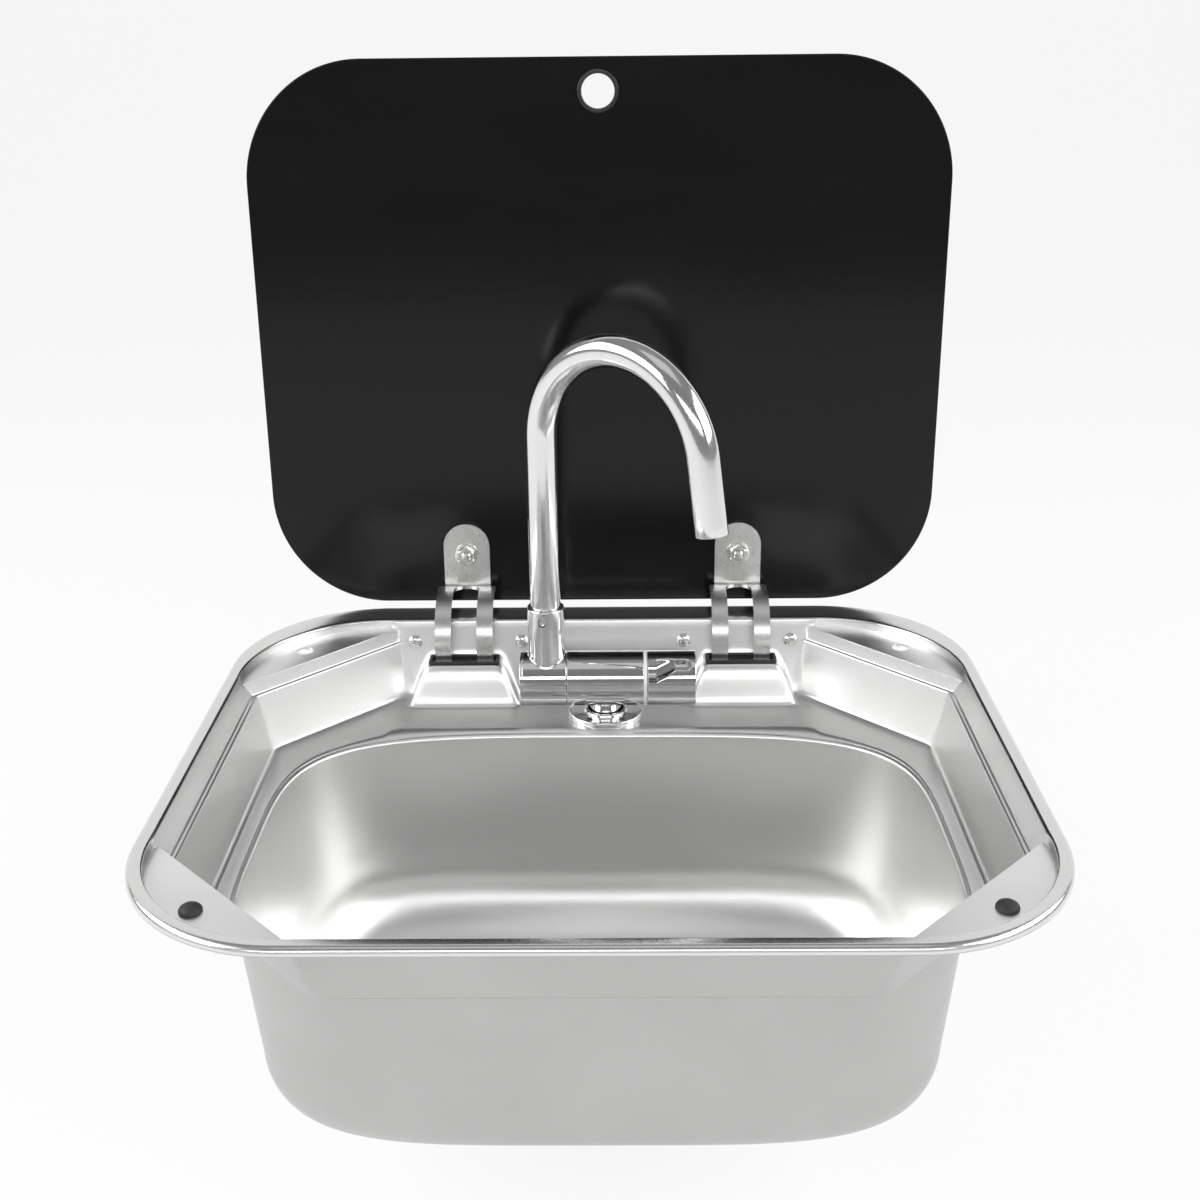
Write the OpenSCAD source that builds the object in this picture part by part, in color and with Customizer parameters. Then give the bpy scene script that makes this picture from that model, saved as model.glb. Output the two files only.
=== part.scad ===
// Camper sink: a pressed steel tray with a deep bowl under it, a black glass lid on two
// swan-neck hinges, and a tap whose gooseneck spout folds down flat when the lid closes.
// X runs left to right, Y from front to back, Z up. The origin is the middle of the rim,
// at the height of its top face. The lid is built closed and then swung open.

/* [Rim] */
// Width of the rim, left to right
rim_w = 420; // [400:1:460]
// Depth of the rim, front to back
rim_d = 350; // [340:1:380]
// Outer corner radius of the rim
rim_r = 80; // [76:1:88]
// Thickness of the pressed sheet
sheet = 0.8; // [0.6:0.1:1]
// Width of the flange at the front and the sides
flange = 7.5; // [6.5:0.5:9]
// Width of the flange behind the recess
back_flange = 21.5; // [20.5:0.5:23]
// Outer radius of the rolled edge
edge_r = 3; // [2:0.5:3.5]
// Height of the turned-down lip
lip_h = 4; // [3.5:0.5:6]
// Thickness of the foam seal below the lip
seal_proud = 0.5; // [0.3:0.1:1]

/* [Tray] */
// Depth of the deck below the rim
deck_drop = 44; // [42:1:48]
// Depth of the step round the walls
step_drop = 12.5; // [11:0.5:14]
// Inward run of the side and front walls down to the step
upper_run = 6.2; // [5:0.1:7]
// Width of the step
step_w = 2.6; // [1.5:0.1:3]
// Inward run of the side walls at the deck
side_run = 17.2; // [15:0.2:20]
// Inward run of the front wall at the deck
front_run = 18; // [15:0.5:20]
// Inward run of the back wall at the deck
back_run = 13.5; // [12.5:0.5:14.5]
// Length that each corner shelf takes off the recess's side
corner_cut = 77.8; // [74:0.2:82]
// Inward run of the corner walls down to the step
corner_up = 3.5; // [2.5:0.1:5]
// Width of the step on the corner walls
corner_step = 1.2; // [0.8:0.1:2]
// Inward run of the corner walls at the deck
corner_run = 14.7; // [12:0.1:17]
// Bend radius between the walls at the deck
wall_bend = 12; // [8:1:14]

/* [Bowl] */
// Depth of the bowl below the deck, to its underside
bowl_drop = 123; // [112:1:132]
// Deck left at each side of the bowl
side_deck = 9.3; // [8:0.1:14]
// Deck left in front of the bowl
front_deck = 9; // [8:0.5:14]
// Deck left behind the bowl for the tap
tap_deck = 49.5; // [48:0.5:56]
// Radius of the bowl's mouth
mouth_r = 6.5; // [4:0.5:8]
// Radius round the bowl's floor
floor_r = 46; // [36:1:52]
// Squareness of the bowl's outline
squareness = 4; // [3:0.1:5]
// Draw angle of the bowl's walls, in degrees
bowl_draft = 1.7; // [1:0.1:3]

/* [Corner shelves] */
// Depth of the corner plates below the rim
shelf_drop = 5; // [4:0.5:6]
// Distance of the front bumpers from the recess's sides
bumper_in_x = 30.5; // [28:0.5:33]
// Distance of the front bumpers from the recess's front
bumper_in_y = 26.5; // [24:0.5:29]
// Radius of a bumper's dome
bumper_r = 5.25; // [4.5:0.25:6]
// Height of a bumper above its plate
bumper_h = 3.6; // [3:0.1:4]
// Distance of the rear holes from the recess's sides
hole_in_x = 28.5; // [27:0.5:31]
// Distance of the rear holes from the recess's back
hole_in_y = 32.5; // [31:0.5:34]
// Radius of the rear holes
shelf_hole_r = 4.5; // [3:0.1:5]

/* [Lid] */
// Thickness of the glass
glass = 5; // [4:0.5:6]
// Gap between the glass and the rim at each side
lid_gap = 2.5; // [2:0.5:4]
// Gap between the glass and the rim in front
lid_front_gap = 1; // [0.5:0.5:3]
// Gap between the glass and the rim behind
lid_back_gap = 3; // [3:0.5:5]
// Corner radius of the glass
lid_r = 68; // [60:1:72]
// Angle that the lid swings, in degrees
lid_swing = 93.9; // [90:0.1:96]
// Inner radius of the finger ring
finger_r = 9.25; // [8:0.25:10]
// Radius of the finger hole in the glass
glass_hole_r = 10.6; // [10.2:0.1:11.4]
// Outer radius of the finger ring's two collars
finger_collar_r = 11.6; // [11.5:0.1:13]
// Thickness of each collar of the finger ring
finger_collar = 1.2; // [0.8:0.1:1.6]
// Distance of the finger hole from the front of the glass
finger_in = 18.2; // [17:0.2:24]

/* [Hinges] */
// Distance of each hinge from the middle
hinge_x = 83; // [80:1:92]
// Distance of the hinge pins from the back of the rim
pivot_in = 8; // [7.6:0.1:9]
// Depth of the hinge pins below the rim
pivot_drop = 14.5; // [13.5:0.5:15.5]
// Radius of the arms' swan neck
neck_r = 27; // [26.5:0.1:27.4]
// Thickness of the arms
arm_t = 2; // [1.5:0.1:2.4]
// Width over both legs of an arm
arm_w = 34.6; // [32:0.2:36]
// Width of one leg
leg_w = 9.6; // [8:0.2:11]
// Width of the tab that is bolted to the glass
tab_w = 28; // [24:0.5:30]
// Length of the tab along the glass, from the glass's back edge
tab_l = 50; // [46:0.5:54]
// Distance of the bolt from the glass's back edge
bolt_in = 31; // [28:0.5:33]
// Inner radius of the bend between the neck and the tab
bend_r = 1.5; // [1:0.1:2]
// Radius of a hinge pin
pin_r = 2; // [1.5:0.1:2.4]
// Outer radius of the pin's eyes
eye_r = 3.6; // [3.4:0.1:3.8]
// Thickness of the bracket
bracket_t = 1.5; // [1:0.1:1.8]
// Thickness of the bracket's ears
ear_t = 2; // [1.5:0.1:2.5]

/* [Bosses] */
// Height of a hinge boss above the deck
boss_h = 23; // [22:0.5:24]
// Half width of a boss at its top
boss_top = 23.5; // [22.5:0.5:25]
// Half width of a boss at its foot
boss_foot = 33; // [31:0.5:35]
// Distance of a boss's foot in front of the slot's middle
boss_toe = 16.5; // [14:0.5:20]
// Distance of a boss's top edge in front of the slot's middle
boss_brow = 8; // [7.5:0.5:9]
// Radius along the boss's upper edges
boss_r = 5; // [3:0.5:7]
// Half length of the slot in a boss
slot_hw = 20.6; // [19:0.2:21]
// Half width of the slot in a boss
slot_hd = 5.4; // [5:0.1:5.6]
// Wall of the slot liner
liner_t = 1.5; // [1:0.1:1.8]

/* [Lid bolts] */
// Radius of a lid bolt
bolt_r = 3; // [2.5:0.1:3.2]
// Radius of the bolt's hole in the glass
bolt_hole_r = 4; // [3.6:0.1:5]
// Radius of the bolt's head
head_r = 8; // [7:0.5:10]
// Height of the bolt's head
head_h = 3; // [2:0.5:4]
// Thickness of the soft washer on each side of the glass
soft_t = 1; // [0.6:0.1:1.2]
// Outer radius of the nut's washer
washer_r = 7.2; // [6.5:0.1:8]
// Thickness of the nut's washer
washer_t = 1.2; // [0.8:0.1:1.6]
// Width across the flats of the bolt's nut
nut_af = 10; // [8:0.5:11]
// Height of the bolt's nut
nut_h = 4.6; // [4:0.1:5]

/* [Bracket screws] */
// Distance of the outer screws from the hinge
screw_out = 30.5; // [27:0.5:33]
// Distance of the inner screws from the hinge
screw_in = 34; // [27:0.5:34]
// Depth of the screws below the rim
screw_drop = 12.5; // [12:0.1:13]
// Radius of a screw's shank
screw_r = 2; // [1.5:0.1:2.3]
// Radius of a screw's pan head
pan_r = 4.25; // [3.5:0.05:4.6]
// Height of a screw's pan head
pan_h = 2.6; // [2:0.1:3]

/* [Tap] */
// Distance of the tap's middle from the sink's middle
tap_x = 1.9; // [-4:0.1:6]
// Distance of the tap in front of the deck's back edge
tap_back = 27; // [26:0.5:28]
// Height of the barrel's axis above the deck
tap_h = 24.2; // [23:0.1:25]
// Radius of the barrel
barrel_r = 15.9; // [15:0.1:16.4]
// Length of the fixed part of the barrel
fixed_l = 44.4; // [42:0.2:48]
// Length of the folding sleeve
sleeve_l = 25.3; // [23:0.1:27]
// Thickness of the sleeve's end cap
cap_t = 1.6; // [1:0.1:2.5]
// Length of the knob
knob_l = 28; // [25:0.5:31]
// Radius of the knob's thumb scoop
scoop_r = 9; // [8:0.5:10]
// Distance of the scoop's middle from the barrel's axis, at its deep end
scoop_near = 20.6; // [20:0.1:22]
// Angle of the scoop's deep end above the horizontal, in degrees
scoop_near_a = 41; // [36:1:46]
// Distance of the scoop's middle from the barrel's axis, at its shallow end
scoop_far = 23.9; // [23:0.1:24.6]
// Angle of the scoop's shallow end above the horizontal, in degrees
scoop_far_a = 53; // [48:1:58]
// Thickness of the white ring beside the knob
ring_t = 1.8; // [1:0.1:2.5]
// Gap where the barrel's parts turn on each other
turn_gap = 0.3; // [0.2:0.1:0.5]
// Radius of the fold spindle
spindle_r = 8.5; // [8:0.1:9]
// Radius of the stem and its threaded shank
stem_r = 9.5; // [9:0.1:10]
// Depth of the shank's end below the deck
shank_l = 31; // [28:1:36]
// Radius of the water way
way_r = 4; // [3:0.1:4.5]
// Outer radius of the tap's flange
rosette_r = 21.8; // [20:0.1:22.4]
// Height of the tap's flange
rosette_h = 5.1; // [4.5:0.1:6]
// Radius of the hose tail
tail_r = 6; // [5:0.1:6.5]
// Length of the hose tail below the shank
tail_l = 22; // [18:1:30]

/* [Spout] */
// Distance of the spout's upright in front of the sleeve's right end
spout_in = 11.4; // [10.8:0.1:12]
// Radius of the upright collar
collar_r = 10.6; // [10.2:0.1:11]
// Height of the collar's top above the rim
collar_top = 26; // [24:1:30]
// Outer radius of the spout tube
tube_r = 8.7; // [8:0.1:9]
// Wall of the spout tube
tube_t = 0.9; // [0.6:0.1:1.2]
// Height of the bend's centre above the rim
bend_z = 126.3; // [110:0.1:140]
// Radius of the bend
gooseneck_r = 55.1; // [50:0.1:60]
// Angle of the bend, in degrees
gooseneck_a = 171; // [160:1:178]
// Straight length after the bend
outlet_l = 39.5; // [30:0.5:44]
// Direction of the spout, in degrees from the right towards the front
spout_az = 39.6; // [20:0.1:60]

/* [Waste] */
// Radius of the hole in the bowl's floor
floor_hole_r = 26; // [24:0.5:28]
// Outer radius of the strainer
strainer_r = 34; // [32:0.5:38]
// Thickness of the strainer's rim
strainer_t = 1.3; // [1:0.1:2]
// Thickness of the waste seals
waste_seal = 1; // [0.8:0.1:2]
// Outer radius of the waste body's cup
cup_r = 28; // [26.5:0.5:30]
// Depth of the waste body's cup
cup_h = 28; // [24:1:40]
// Wall of the waste body
waste_t = 2; // [1.5:0.1:2.5]
// Outer radius of the waste body's tail
waste_tail_r = 12.7; // [10:0.1:16]
// Length of the waste body's tail
waste_tail_l = 16; // [14:1:30]

/* [Hidden] */
$fn = 64;

// Cutters reach this far past the faces they cut
over = 0.5;
// Sliding clearance of pins and shafts, on the radius
fit = 0.05;
// Clearance between parts that are fixed together
snug = 0.1;

// The recess that the lid closes, measured at the rim
rec_hw = rim_w / 2 - flange;
rec_front = -rim_d / 2 + flange;
rec_back = rim_d / 2 - back_flange;
rec_cy = (rec_front + rec_back) / 2;
rec_hl = (rec_back - rec_front) / 2;
rec_r = rim_r - flange;
// Distance of the corner walls from the recess's middle, at the rim
corner_d = (rec_hw + rec_hl - corner_cut) / sqrt(2);
shelf_d = corner_d - corner_up * shelf_drop / step_drop - snug;
wall_off = sheet * 1.1;

// The deck and its back edge
deck_z = -deck_drop;
deck_hw = rec_hw - side_run;
deck_front = rec_front + front_run;
deck_back = rec_back - back_run;
wall_tilt = atan(back_run / deck_drop);
wall_n = wall_off * cos(wall_tilt) + snug;
function back_y(z) = rec_back + z * back_run / deck_drop;
screw_xs = [-hinge_x - screw_out, -hinge_x + screw_in, hinge_x - screw_in, hinge_x + screw_out];

// The bowl
bowl_front = deck_front + front_deck;
bowl_back = deck_back - tap_deck;
bowl_cy = (bowl_front + bowl_back) / 2;
mouth_hw = deck_hw - side_deck;
mouth_hl = (bowl_back - bowl_front) / 2;
bowl_top = deck_z;
bowl_floor = deck_z - bowl_drop + sheet;
bowl_lip = 3.5;
ring_n = 56;

// The lid, closed
lid_z = -shelf_drop + bumper_h;
lid_hw = rec_hw - lid_gap;
lid_front = rec_front + lid_front_gap;
lid_back = rec_back - lid_back_gap;
lid_cy = (lid_front + lid_back) / 2;
lid_hl = (lid_back - lid_front) / 2;
finger_y = lid_front + finger_in;
bolt_y = lid_back - bolt_in;

// The hinges
pivot_y = rim_d / 2 - pivot_in;
pivot_z = -pivot_drop;
leg_x = (arm_w - leg_w) / 2;
neck_end = 306;
strap_y = -neck_r - arm_t / 2;
tab_z = lid_z - soft_t - pivot_z;
slot_y = pivot_y - neck_r + 0.8;
boss_z = deck_z + boss_h;
ear_x = arm_w / 2 + 0.7;

// The tap
tap_y = deck_back - tap_back;
tap_z = deck_z + tap_h;
fixed_x0 = tap_x - fixed_l / 2;
fixed_x1 = tap_x + fixed_l / 2;
sleeve_x1 = fixed_x0 - turn_gap;
sleeve_x0 = sleeve_x1 - sleeve_l;
knob_x0 = fixed_x1 + ring_t + turn_gap;
knob_x1 = knob_x0 + knob_l;
spout_x = sleeve_x1 - spout_in;
tail_z0 = tap_z + barrel_r + 4;
tube_z0 = collar_top + turn_gap;
groove_r = spindle_r - 1.85;
ring_w = 1.8;
tail_ring_zs = [tail_z0 + 4, tail_z0 + 10];
grub_r = 2.2;
grub_z = 19.5;
cartridge_r = 8.4;
valve_r = 3;

// The waste
waste_y = bowl_cy;
floor_under = deck_z - bowl_drop;
strainer_z = bowl_floor + waste_seal;
cup_z = floor_under - waste_seal;
waste_screw_r = 2.5;
funnel = 8;
funnel_z = -cup_h + funnel + 0.8;
bridge_z = 16;

// Turns a profile drawn in Y and Z, extruded along X, into place
module along_x() { rotate([90, 0, 90]) children(); }
// Lays a cylinder's axis along X
module lie_x() { rotate([0, 90, 0]) children(); }
// Swings the closed lid open
module lid_pose() {
  translate([0, pivot_y, pivot_z]) rotate([-lid_swing, 0, 0])
    translate([0, -pivot_y, -pivot_z]) children();
}

module rounded(hw, hl, r) {
  square([2 * (hw - r), 2 * hl], center = true);
  square([2 * hw, 2 * (hl - r)], center = true);
  for (sx = [-1, 1], sy = [-1, 1]) translate([sx * (hw - r), sy * (hl - r)]) circle(r);
}

module recess_shape(grow) { translate([0, rec_cy]) rounded(rec_hw + grow, rec_hl + grow, rec_r + grow); }

// The recess's corners outside the line at distance d from its middle
module corners(grow, d) {
  difference() {
    recess_shape(grow);
    translate([0, rec_cy]) rotate(45) square(2 * d, center = true);
  }
}

// Sweeps a profile, drawn from the corner's centre outwards, round the rim
module round_rim() {
  hx = rim_w / 2 - rim_r;
  hy = rim_d / 2 - rim_r;
  for (k = [0:3]) {
    cx = (k == 0 || k == 3) ? hx : -hx;
    cy = k < 2 ? hy : -hy;
    translate([cx, cy, 0]) rotate([0, 0, 90 * k]) rotate_extrude(angle = 90) children();
  }
  for (s = [0, 1]) {
    rotate([0, 0, 180 * s]) translate([hx, hy, 0]) rotate([90, 0, 0]) linear_extrude(2 * hy) children();
    rotate([0, 0, 180 * s]) translate([-hx, hy, 0]) rotate([90, 0, 90]) linear_extrude(2 * hx) children();
  }
}

module edge_profile() {
  intersection() {
    translate([rim_r - edge_r, -edge_r]) difference() {
      circle(edge_r);
      circle(edge_r - sheet);
    }
    translate([rim_r - edge_r, -edge_r]) square(edge_r + over);
  }
  translate([rim_r - sheet, -lip_h]) square([sheet, lip_h - edge_r]);
}

// Eight corner centres of the tray at one level, moved in from the recess
function eight(side, front, back, corner, r) =
  let (hw = rec_hw - side - r,
       f = rec_cy - rec_front - front - r,
       b = rec_back - rec_cy - back - r,
       s = (corner_d - corner - r) * sqrt(2))
  [[hw, s - hw], [s - b, b], [b - s, b], [-hw, s - hw],
   [-hw, hw - s], [f - s, -f], [s - f, -f], [hw, hw - s]];

module level(z, side, front, back, corner, r) {
  translate([0, rec_cy, z])
    for (p = eight(side, front, back, corner, r)) translate(p) cylinder(r = r, h = 0.01, $fn = 32);
}

// The tray's inner space, or with g its outer form
module upper_part(g, top) {
  k = top / step_drop;
  low = g > 0 ? sheet : 0;
  hull() {
    level(top, -k * upper_run - g, -k * upper_run - g, -top * back_run / deck_drop - g,
          -k * corner_up - g, 2 + g);
    level(-step_drop - low, upper_run - g, upper_run - g,
          (step_drop + low) * back_run / deck_drop - g, corner_up - g, 4 + g);
  }
}

module lower_part(g) {
  low = g > 0 ? sheet : 0;
  hull() {
    level(-step_drop + 0.01 - low, upper_run + step_w - g, upper_run + step_w - g,
          (step_drop + low) * back_run / deck_drop - g, corner_up + corner_step - g, 6 + g);
    level(deck_z - low, side_run - g, front_run - g,
          (deck_drop + low) * back_run / deck_drop - g, corner_run - g, wall_bend + g);
  }
}

// Outline of a boss seen from the front, drawn in by t
function boss_side(t, foot_z) =
  let (a = atan2(boss_h, boss_foot - boss_top),
       top = boss_z - t,
       r = max(boss_r - t, 0.6),
       foot = boss_foot - t / sin(a) - (foot_z - deck_z) / tan(a),
       cz = top - r,
       cx = foot - (cz - foot_z) / tan(a) - r / sin(a))
  concat([[-foot, foot_z]],
         [for (i = [0:5]) [-cx + r * cos(90 + a - i * a / 5), cz + r * sin(90 + a - i * a / 5)]],
         [for (i = [0:5]) [cx + r * cos(90 - i * a / 5), cz + r * sin(90 - i * a / 5)]],
         [[foot, foot_z]]);

module boss(side) {
  translate([side * hinge_x, 0, 0]) intersection() {
    translate([0, rec_back + over, 0]) rotate([90, 0, 0])
      linear_extrude(60) polygon(boss_side(0, deck_z - sheet / 2));
    along_x() linear_extrude(4 * boss_foot, center = true) polygon([
      [slot_y - boss_toe, deck_z - sheet / 2], [slot_y - boss_brow, boss_z + over],
      [back_y(boss_z) + wall_off / 2, boss_z + over], [back_y(deck_z) + wall_off / 2, deck_z - sheet / 2]]);
  }
}

module boss_space(side) {
  translate([side * hinge_x, 0, 0]) intersection() {
    translate([0, pivot_y, 0]) rotate([90, 0, 0])
      linear_extrude(60) polygon(boss_side(sheet, deck_z - sheet - over));
    along_x() linear_extrude(4 * boss_foot, center = true) polygon([
      [slot_y - boss_toe + sheet, deck_z - sheet - over], [slot_y - boss_toe + sheet, deck_z],
      [slot_y - boss_brow + sheet, boss_z + over], [pivot_y, boss_z + over],
      [pivot_y, deck_z - sheet - over]]);
  }
}

function outline(a, b, n) = [for (i = [0:ring_n - 1])
  let (t = 360 * (i + 0.5) / ring_n, c = cos(t), s = sin(t))
  [a * sign(c) * pow(abs(c), 2 / n), b * sign(s) * pow(abs(s), 2 / n)]];

// Places a part on the back wall, its own Z pointing into the tray, square to the wall
module on_wall(x) {
  translate([x, back_y(-screw_drop), -screw_drop]) rotate([90 - wall_tilt, 0, 0]) children();
}

module rim_tray() {
  color([0.78, 0.79, 0.8]) difference() {
    union() {
      difference() {
        union() {
          translate([0, 0, -sheet]) linear_extrude(sheet)
            rounded(rim_w / 2 - edge_r, rim_d / 2 - edge_r, rim_r - edge_r);
          round_rim() edge_profile();
          upper_part(wall_off, 0);
          lower_part(wall_off);
          translate([0, 0, -shelf_drop - 2 * sheet]) linear_extrude(shelf_drop + sheet)
            corners(wall_off, shelf_d - 1);
        }
        upper_part(0, over);
        lower_part(0);
        translate([0, 0, -shelf_drop - sheet]) linear_extrude(shelf_drop + sheet + over)
          corners(0, shelf_d);
      }
      for (s = [-1, 1]) boss(s);
    }
    for (s = [-1, 1]) {
      boss_space(s);
      translate([s * hinge_x, slot_y, boss_z])
        cube([2 * slot_hw, 2 * slot_hd, 4 * sheet], center = true);
    }
    translate([0, bowl_cy, deck_z - sheet - over]) linear_extrude(sheet + 2 * over)
      polygon(outline(mouth_hw + snug, mouth_hl + snug, squareness));
    translate([tap_x, tap_y, deck_z - sheet - over]) cylinder(r = stem_r + snug, h = sheet + 2 * over);
    for (x = screw_xs) on_wall(x) cylinder(r = screw_r + snug, h = 6, center = true);
    shelf_holes();
  }
}

// Holes through the corner plates and the shelves under them
module shelf_holes() {
  for (s = [-1, 1]) {
    translate([s * (rec_hw - bumper_in_x), rec_front + bumper_in_y, -shelf_drop - 2 * sheet - over])
      cylinder(r = bumper_r / 2 + snug, h = 2 * sheet + 2 * over);
    translate([s * (rec_hw - hole_in_x), rec_back - hole_in_y, -shelf_drop - 2 * sheet - over])
      cylinder(r = shelf_hole_r, h = 2 * sheet + 2 * over);
  }
}

module corner_plate(sx, sy) {
  color([0.8, 0.81, 0.82]) difference() {
    translate([0, 0, -shelf_drop - sheet]) linear_extrude(sheet) intersection() {
      corners(-snug, shelf_d + snug);
      translate([sx * rim_w / 2, rec_cy + sy * rim_d / 2]) square([rim_w, rim_d], center = true);
    }
    shelf_holes();
  }
}

module plate_front_left() { corner_plate(-1, -1); }
module plate_front_right() { corner_plate(1, -1); }
module plate_rear_left() { corner_plate(-1, 1); }
module plate_rear_right() { corner_plate(1, 1); }

// Push-in rubber buttons that carry the front of the glass
module lid_bumpers() {
  dome_edge = 1.2;
  barb_h = 3;
  stem = bumper_r / 2;
  color([0.08, 0.08, 0.08]) for (s = [-1, 1])
    translate([s * (rec_hw - bumper_in_x), rec_front + bumper_in_y, -shelf_drop]) {
      cylinder(r = bumper_r, h = dome_edge);
      intersection() {
        translate([0, 0, bumper_h - bumper_r * 1.2]) sphere(r = bumper_r * 1.2);
        translate([0, 0, dome_edge]) cylinder(r = bumper_r, h = bumper_h);
      }
      translate([0, 0, -2 * sheet - barb_h]) cylinder(r = stem, h = 2 * sheet + barb_h + 0.1);
      translate([0, 0, -2 * sheet - barb_h]) cylinder(r1 = stem * 0.6, r2 = stem * 1.35, h = barb_h - snug);
    }
}

// Foam seal pressed into the rolled edge, flat below where it meets the worktop
module rim_seal() {
  seal_w = 3.6;
  color([0.12, 0.12, 0.12]) round_rim() {
    translate([rim_r - sheet - snug - seal_w, -lip_h - seal_proud])
      square([seal_w, lip_h + seal_proud - edge_r]);
    translate([rim_r - sheet - snug - seal_w, -edge_r])
      square([seal_w - edge_r + sheet + snug, edge_r - sheet - snug]);
    translate([rim_r - edge_r, -edge_r]) intersection() {
      circle(edge_r - sheet - snug);
      square(edge_r);
    }
  }
}

// One level of the bowl's surface: half sizes drawn in from the mouth, height, squareness
function bowl_ring(draw, z, n) =
  [for (p = outline(mouth_hw - draw, mouth_hl - draw, n)) [p[0], p[1] + bowl_cy, z]];
function round_ring(r, z) = [for (p = outline(r, r, 2)) [p[0], p[1] + waste_y, z]];

// Levels from the mouth to the floor. out moves them to the sheet's outer face
function bowl_levels(out) =
  let (run = tan(bowl_draft),
       m = mouth_r - out * sheet,
       wall_z = bowl_top - mouth_r,
       foot_z = bowl_floor + floor_r,
       foot = m + (wall_z - foot_z) * run,
       r = floor_r + out * sheet)
  concat(
    [for (a = [90:-30:0]) bowl_ring(m * cos(a), wall_z + m * sin(a), squareness)],
    [for (k = [0.35, 0.7]) let (z = wall_z + k * (foot_z - wall_z))
      bowl_ring(m + (wall_z - z) * run, z, squareness + 0.3 * k)],
    [for (a = [0:15:90])
      bowl_ring(foot + r * (1 - cos(a)), foot_z - r * sin(a), squareness + 0.3 + 0.3 * a / 90)],
    [round_ring(strainer_r + 6, bowl_floor - out * sheet), round_ring(floor_hole_r - 8, bowl_floor - out * sheet)]);

module bowl() {
  inner = bowl_levels(0);
  outer = bowl_levels(1);
  m = len(inner);
  rings = concat(
    inner,
    [for (i = [m - 1:-1:1]) outer[i]],
    [bowl_ring(0, bowl_top - 2 * sheet, squareness)],
    [bowl_ring(-bowl_lip, bowl_top - 2 * sheet, squareness)],
    [bowl_ring(-bowl_lip, bowl_top - sheet - 0.02, squareness)],
    [bowl_ring(0, bowl_top - sheet - 0.02, squareness)]);
  total = len(rings);
  points = [for (r = rings, p = r) p];
  faces = [for (i = [0:total - 1], j = [0:ring_n - 1])
    let (i2 = (i + 1) % total, j2 = (j + 1) % ring_n)
    for (f = [[i * ring_n + j, i * ring_n + j2, i2 * ring_n + j2],
              [i * ring_n + j, i2 * ring_n + j2, i2 * ring_n + j]]) f];
  color([0.7, 0.71, 0.72]) difference() {
    polyhedron(points, faces);
    translate([0, waste_y, bowl_floor - 2]) cylinder(r = floor_hole_r, h = 4);
  }
}

module slot_liner(side) {
  proud = 1.2;
  lip = 0.9;
  hw = slot_hw - snug;
  hd = slot_hd - snug;
  color([0.1, 0.1, 0.1]) translate([side * hinge_x, slot_y, boss_z]) difference() {
    union() {
      translate([0, 0, proud / 2]) cube([2 * (hw + lip), 2 * (hd + lip), proud], center = true);
      translate([0, 0, -2]) cube([2 * hw, 2 * hd, 4.2], center = true);
    }
    cube([2 * (hw - liner_t), 2 * (hd - liner_t), 12], center = true);
  }
}
module slot_liner_left() { slot_liner(-1); }
module slot_liner_right() { slot_liner(1); }

// Plate behind the back wall with two ears that carry the hinge pin
module bracket(side) {
  half = 8;
  end = 5;
  dy = pivot_y - back_y(-screw_drop);
  dz = pivot_z + screw_drop;
  py = dy * sin(wall_tilt) + dz * cos(wall_tilt);
  pz = -dy * cos(wall_tilt) + dz * sin(wall_tilt);
  left = side > 0 ? screw_in : screw_out;
  right = side > 0 ? screw_out : screw_in;
  color([0.6, 0.62, 0.64]) difference() {
    on_wall(side * hinge_x) {
      translate([-left - end, -half, -wall_n - bracket_t]) cube([left + right + 2 * end, 2 * half, bracket_t]);
      for (s = [-1, 1]) translate([s * (ear_x + ear_t / 2), 0, 0]) along_x() {
        linear_extrude(ear_t, center = true) polygon([
          [-half, -wall_n - bracket_t / 2], [half, -wall_n - bracket_t / 2],
          [py + eye_r, pz], [py - eye_r, pz]]);
        translate([py, pz, 0]) cylinder(r = eye_r, h = ear_t, center = true);
      }
    }
    for (x = screw_xs) on_wall(x) cylinder(r = screw_r + snug, h = 12, center = true);
    translate([side * hinge_x, pivot_y, pivot_z]) lie_x()
      cylinder(r = pin_r + fit, h = 4 * ear_x, center = true);
  }
}
module bracket_left() { bracket(-1); }
module bracket_right() { bracket(1); }

// Pan-head machine screws with a cross recess
module bracket_screws() {
  tip = 5.5;
  color([0.85, 0.86, 0.87]) for (x = screw_xs) on_wall(x) difference() {
    union() {
      translate([0, 0, -wall_n - bracket_t - tip]) cylinder(r = screw_r, h = wall_n + bracket_t + tip + 0.2);
      intersection() {
        translate([0, 0, snug]) cylinder(r = pan_r, h = pan_h);
        translate([0, 0, pan_h + snug - 1.6 * pan_r]) sphere(r = 1.6 * pan_r);
      }
    }
    for (a = [0, 90]) rotate([0, 0, a + 20]) translate([0, 0, pan_h]) cube([4.4, 0.9, 2], center = true);
  }
}

module bracket_nuts() {
  height = 3.2;
  color([0.7, 0.71, 0.72]) for (x = screw_xs) on_wall(x)
    translate([0, 0, -wall_n - bracket_t - height - snug]) difference() {
      cylinder(r = 4, h = height, $fn = 6);
      translate([0, 0, -over]) cylinder(r = screw_r + fit, h = height + 2 * over);
    }
}

module hinge_pins() {
  head = 1.5;
  length = 2 * (ear_x + ear_t + 2);
  color([0.75, 0.76, 0.77]) for (s = [-1, 1]) translate([s * hinge_x, pivot_y, pivot_z]) lie_x() {
    cylinder(r = pin_r, h = length, center = true);
    translate([0, 0, -length / 2 + 2 - snug - head]) cylinder(r = pin_r * 1.75, h = head);
  }
}

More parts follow.
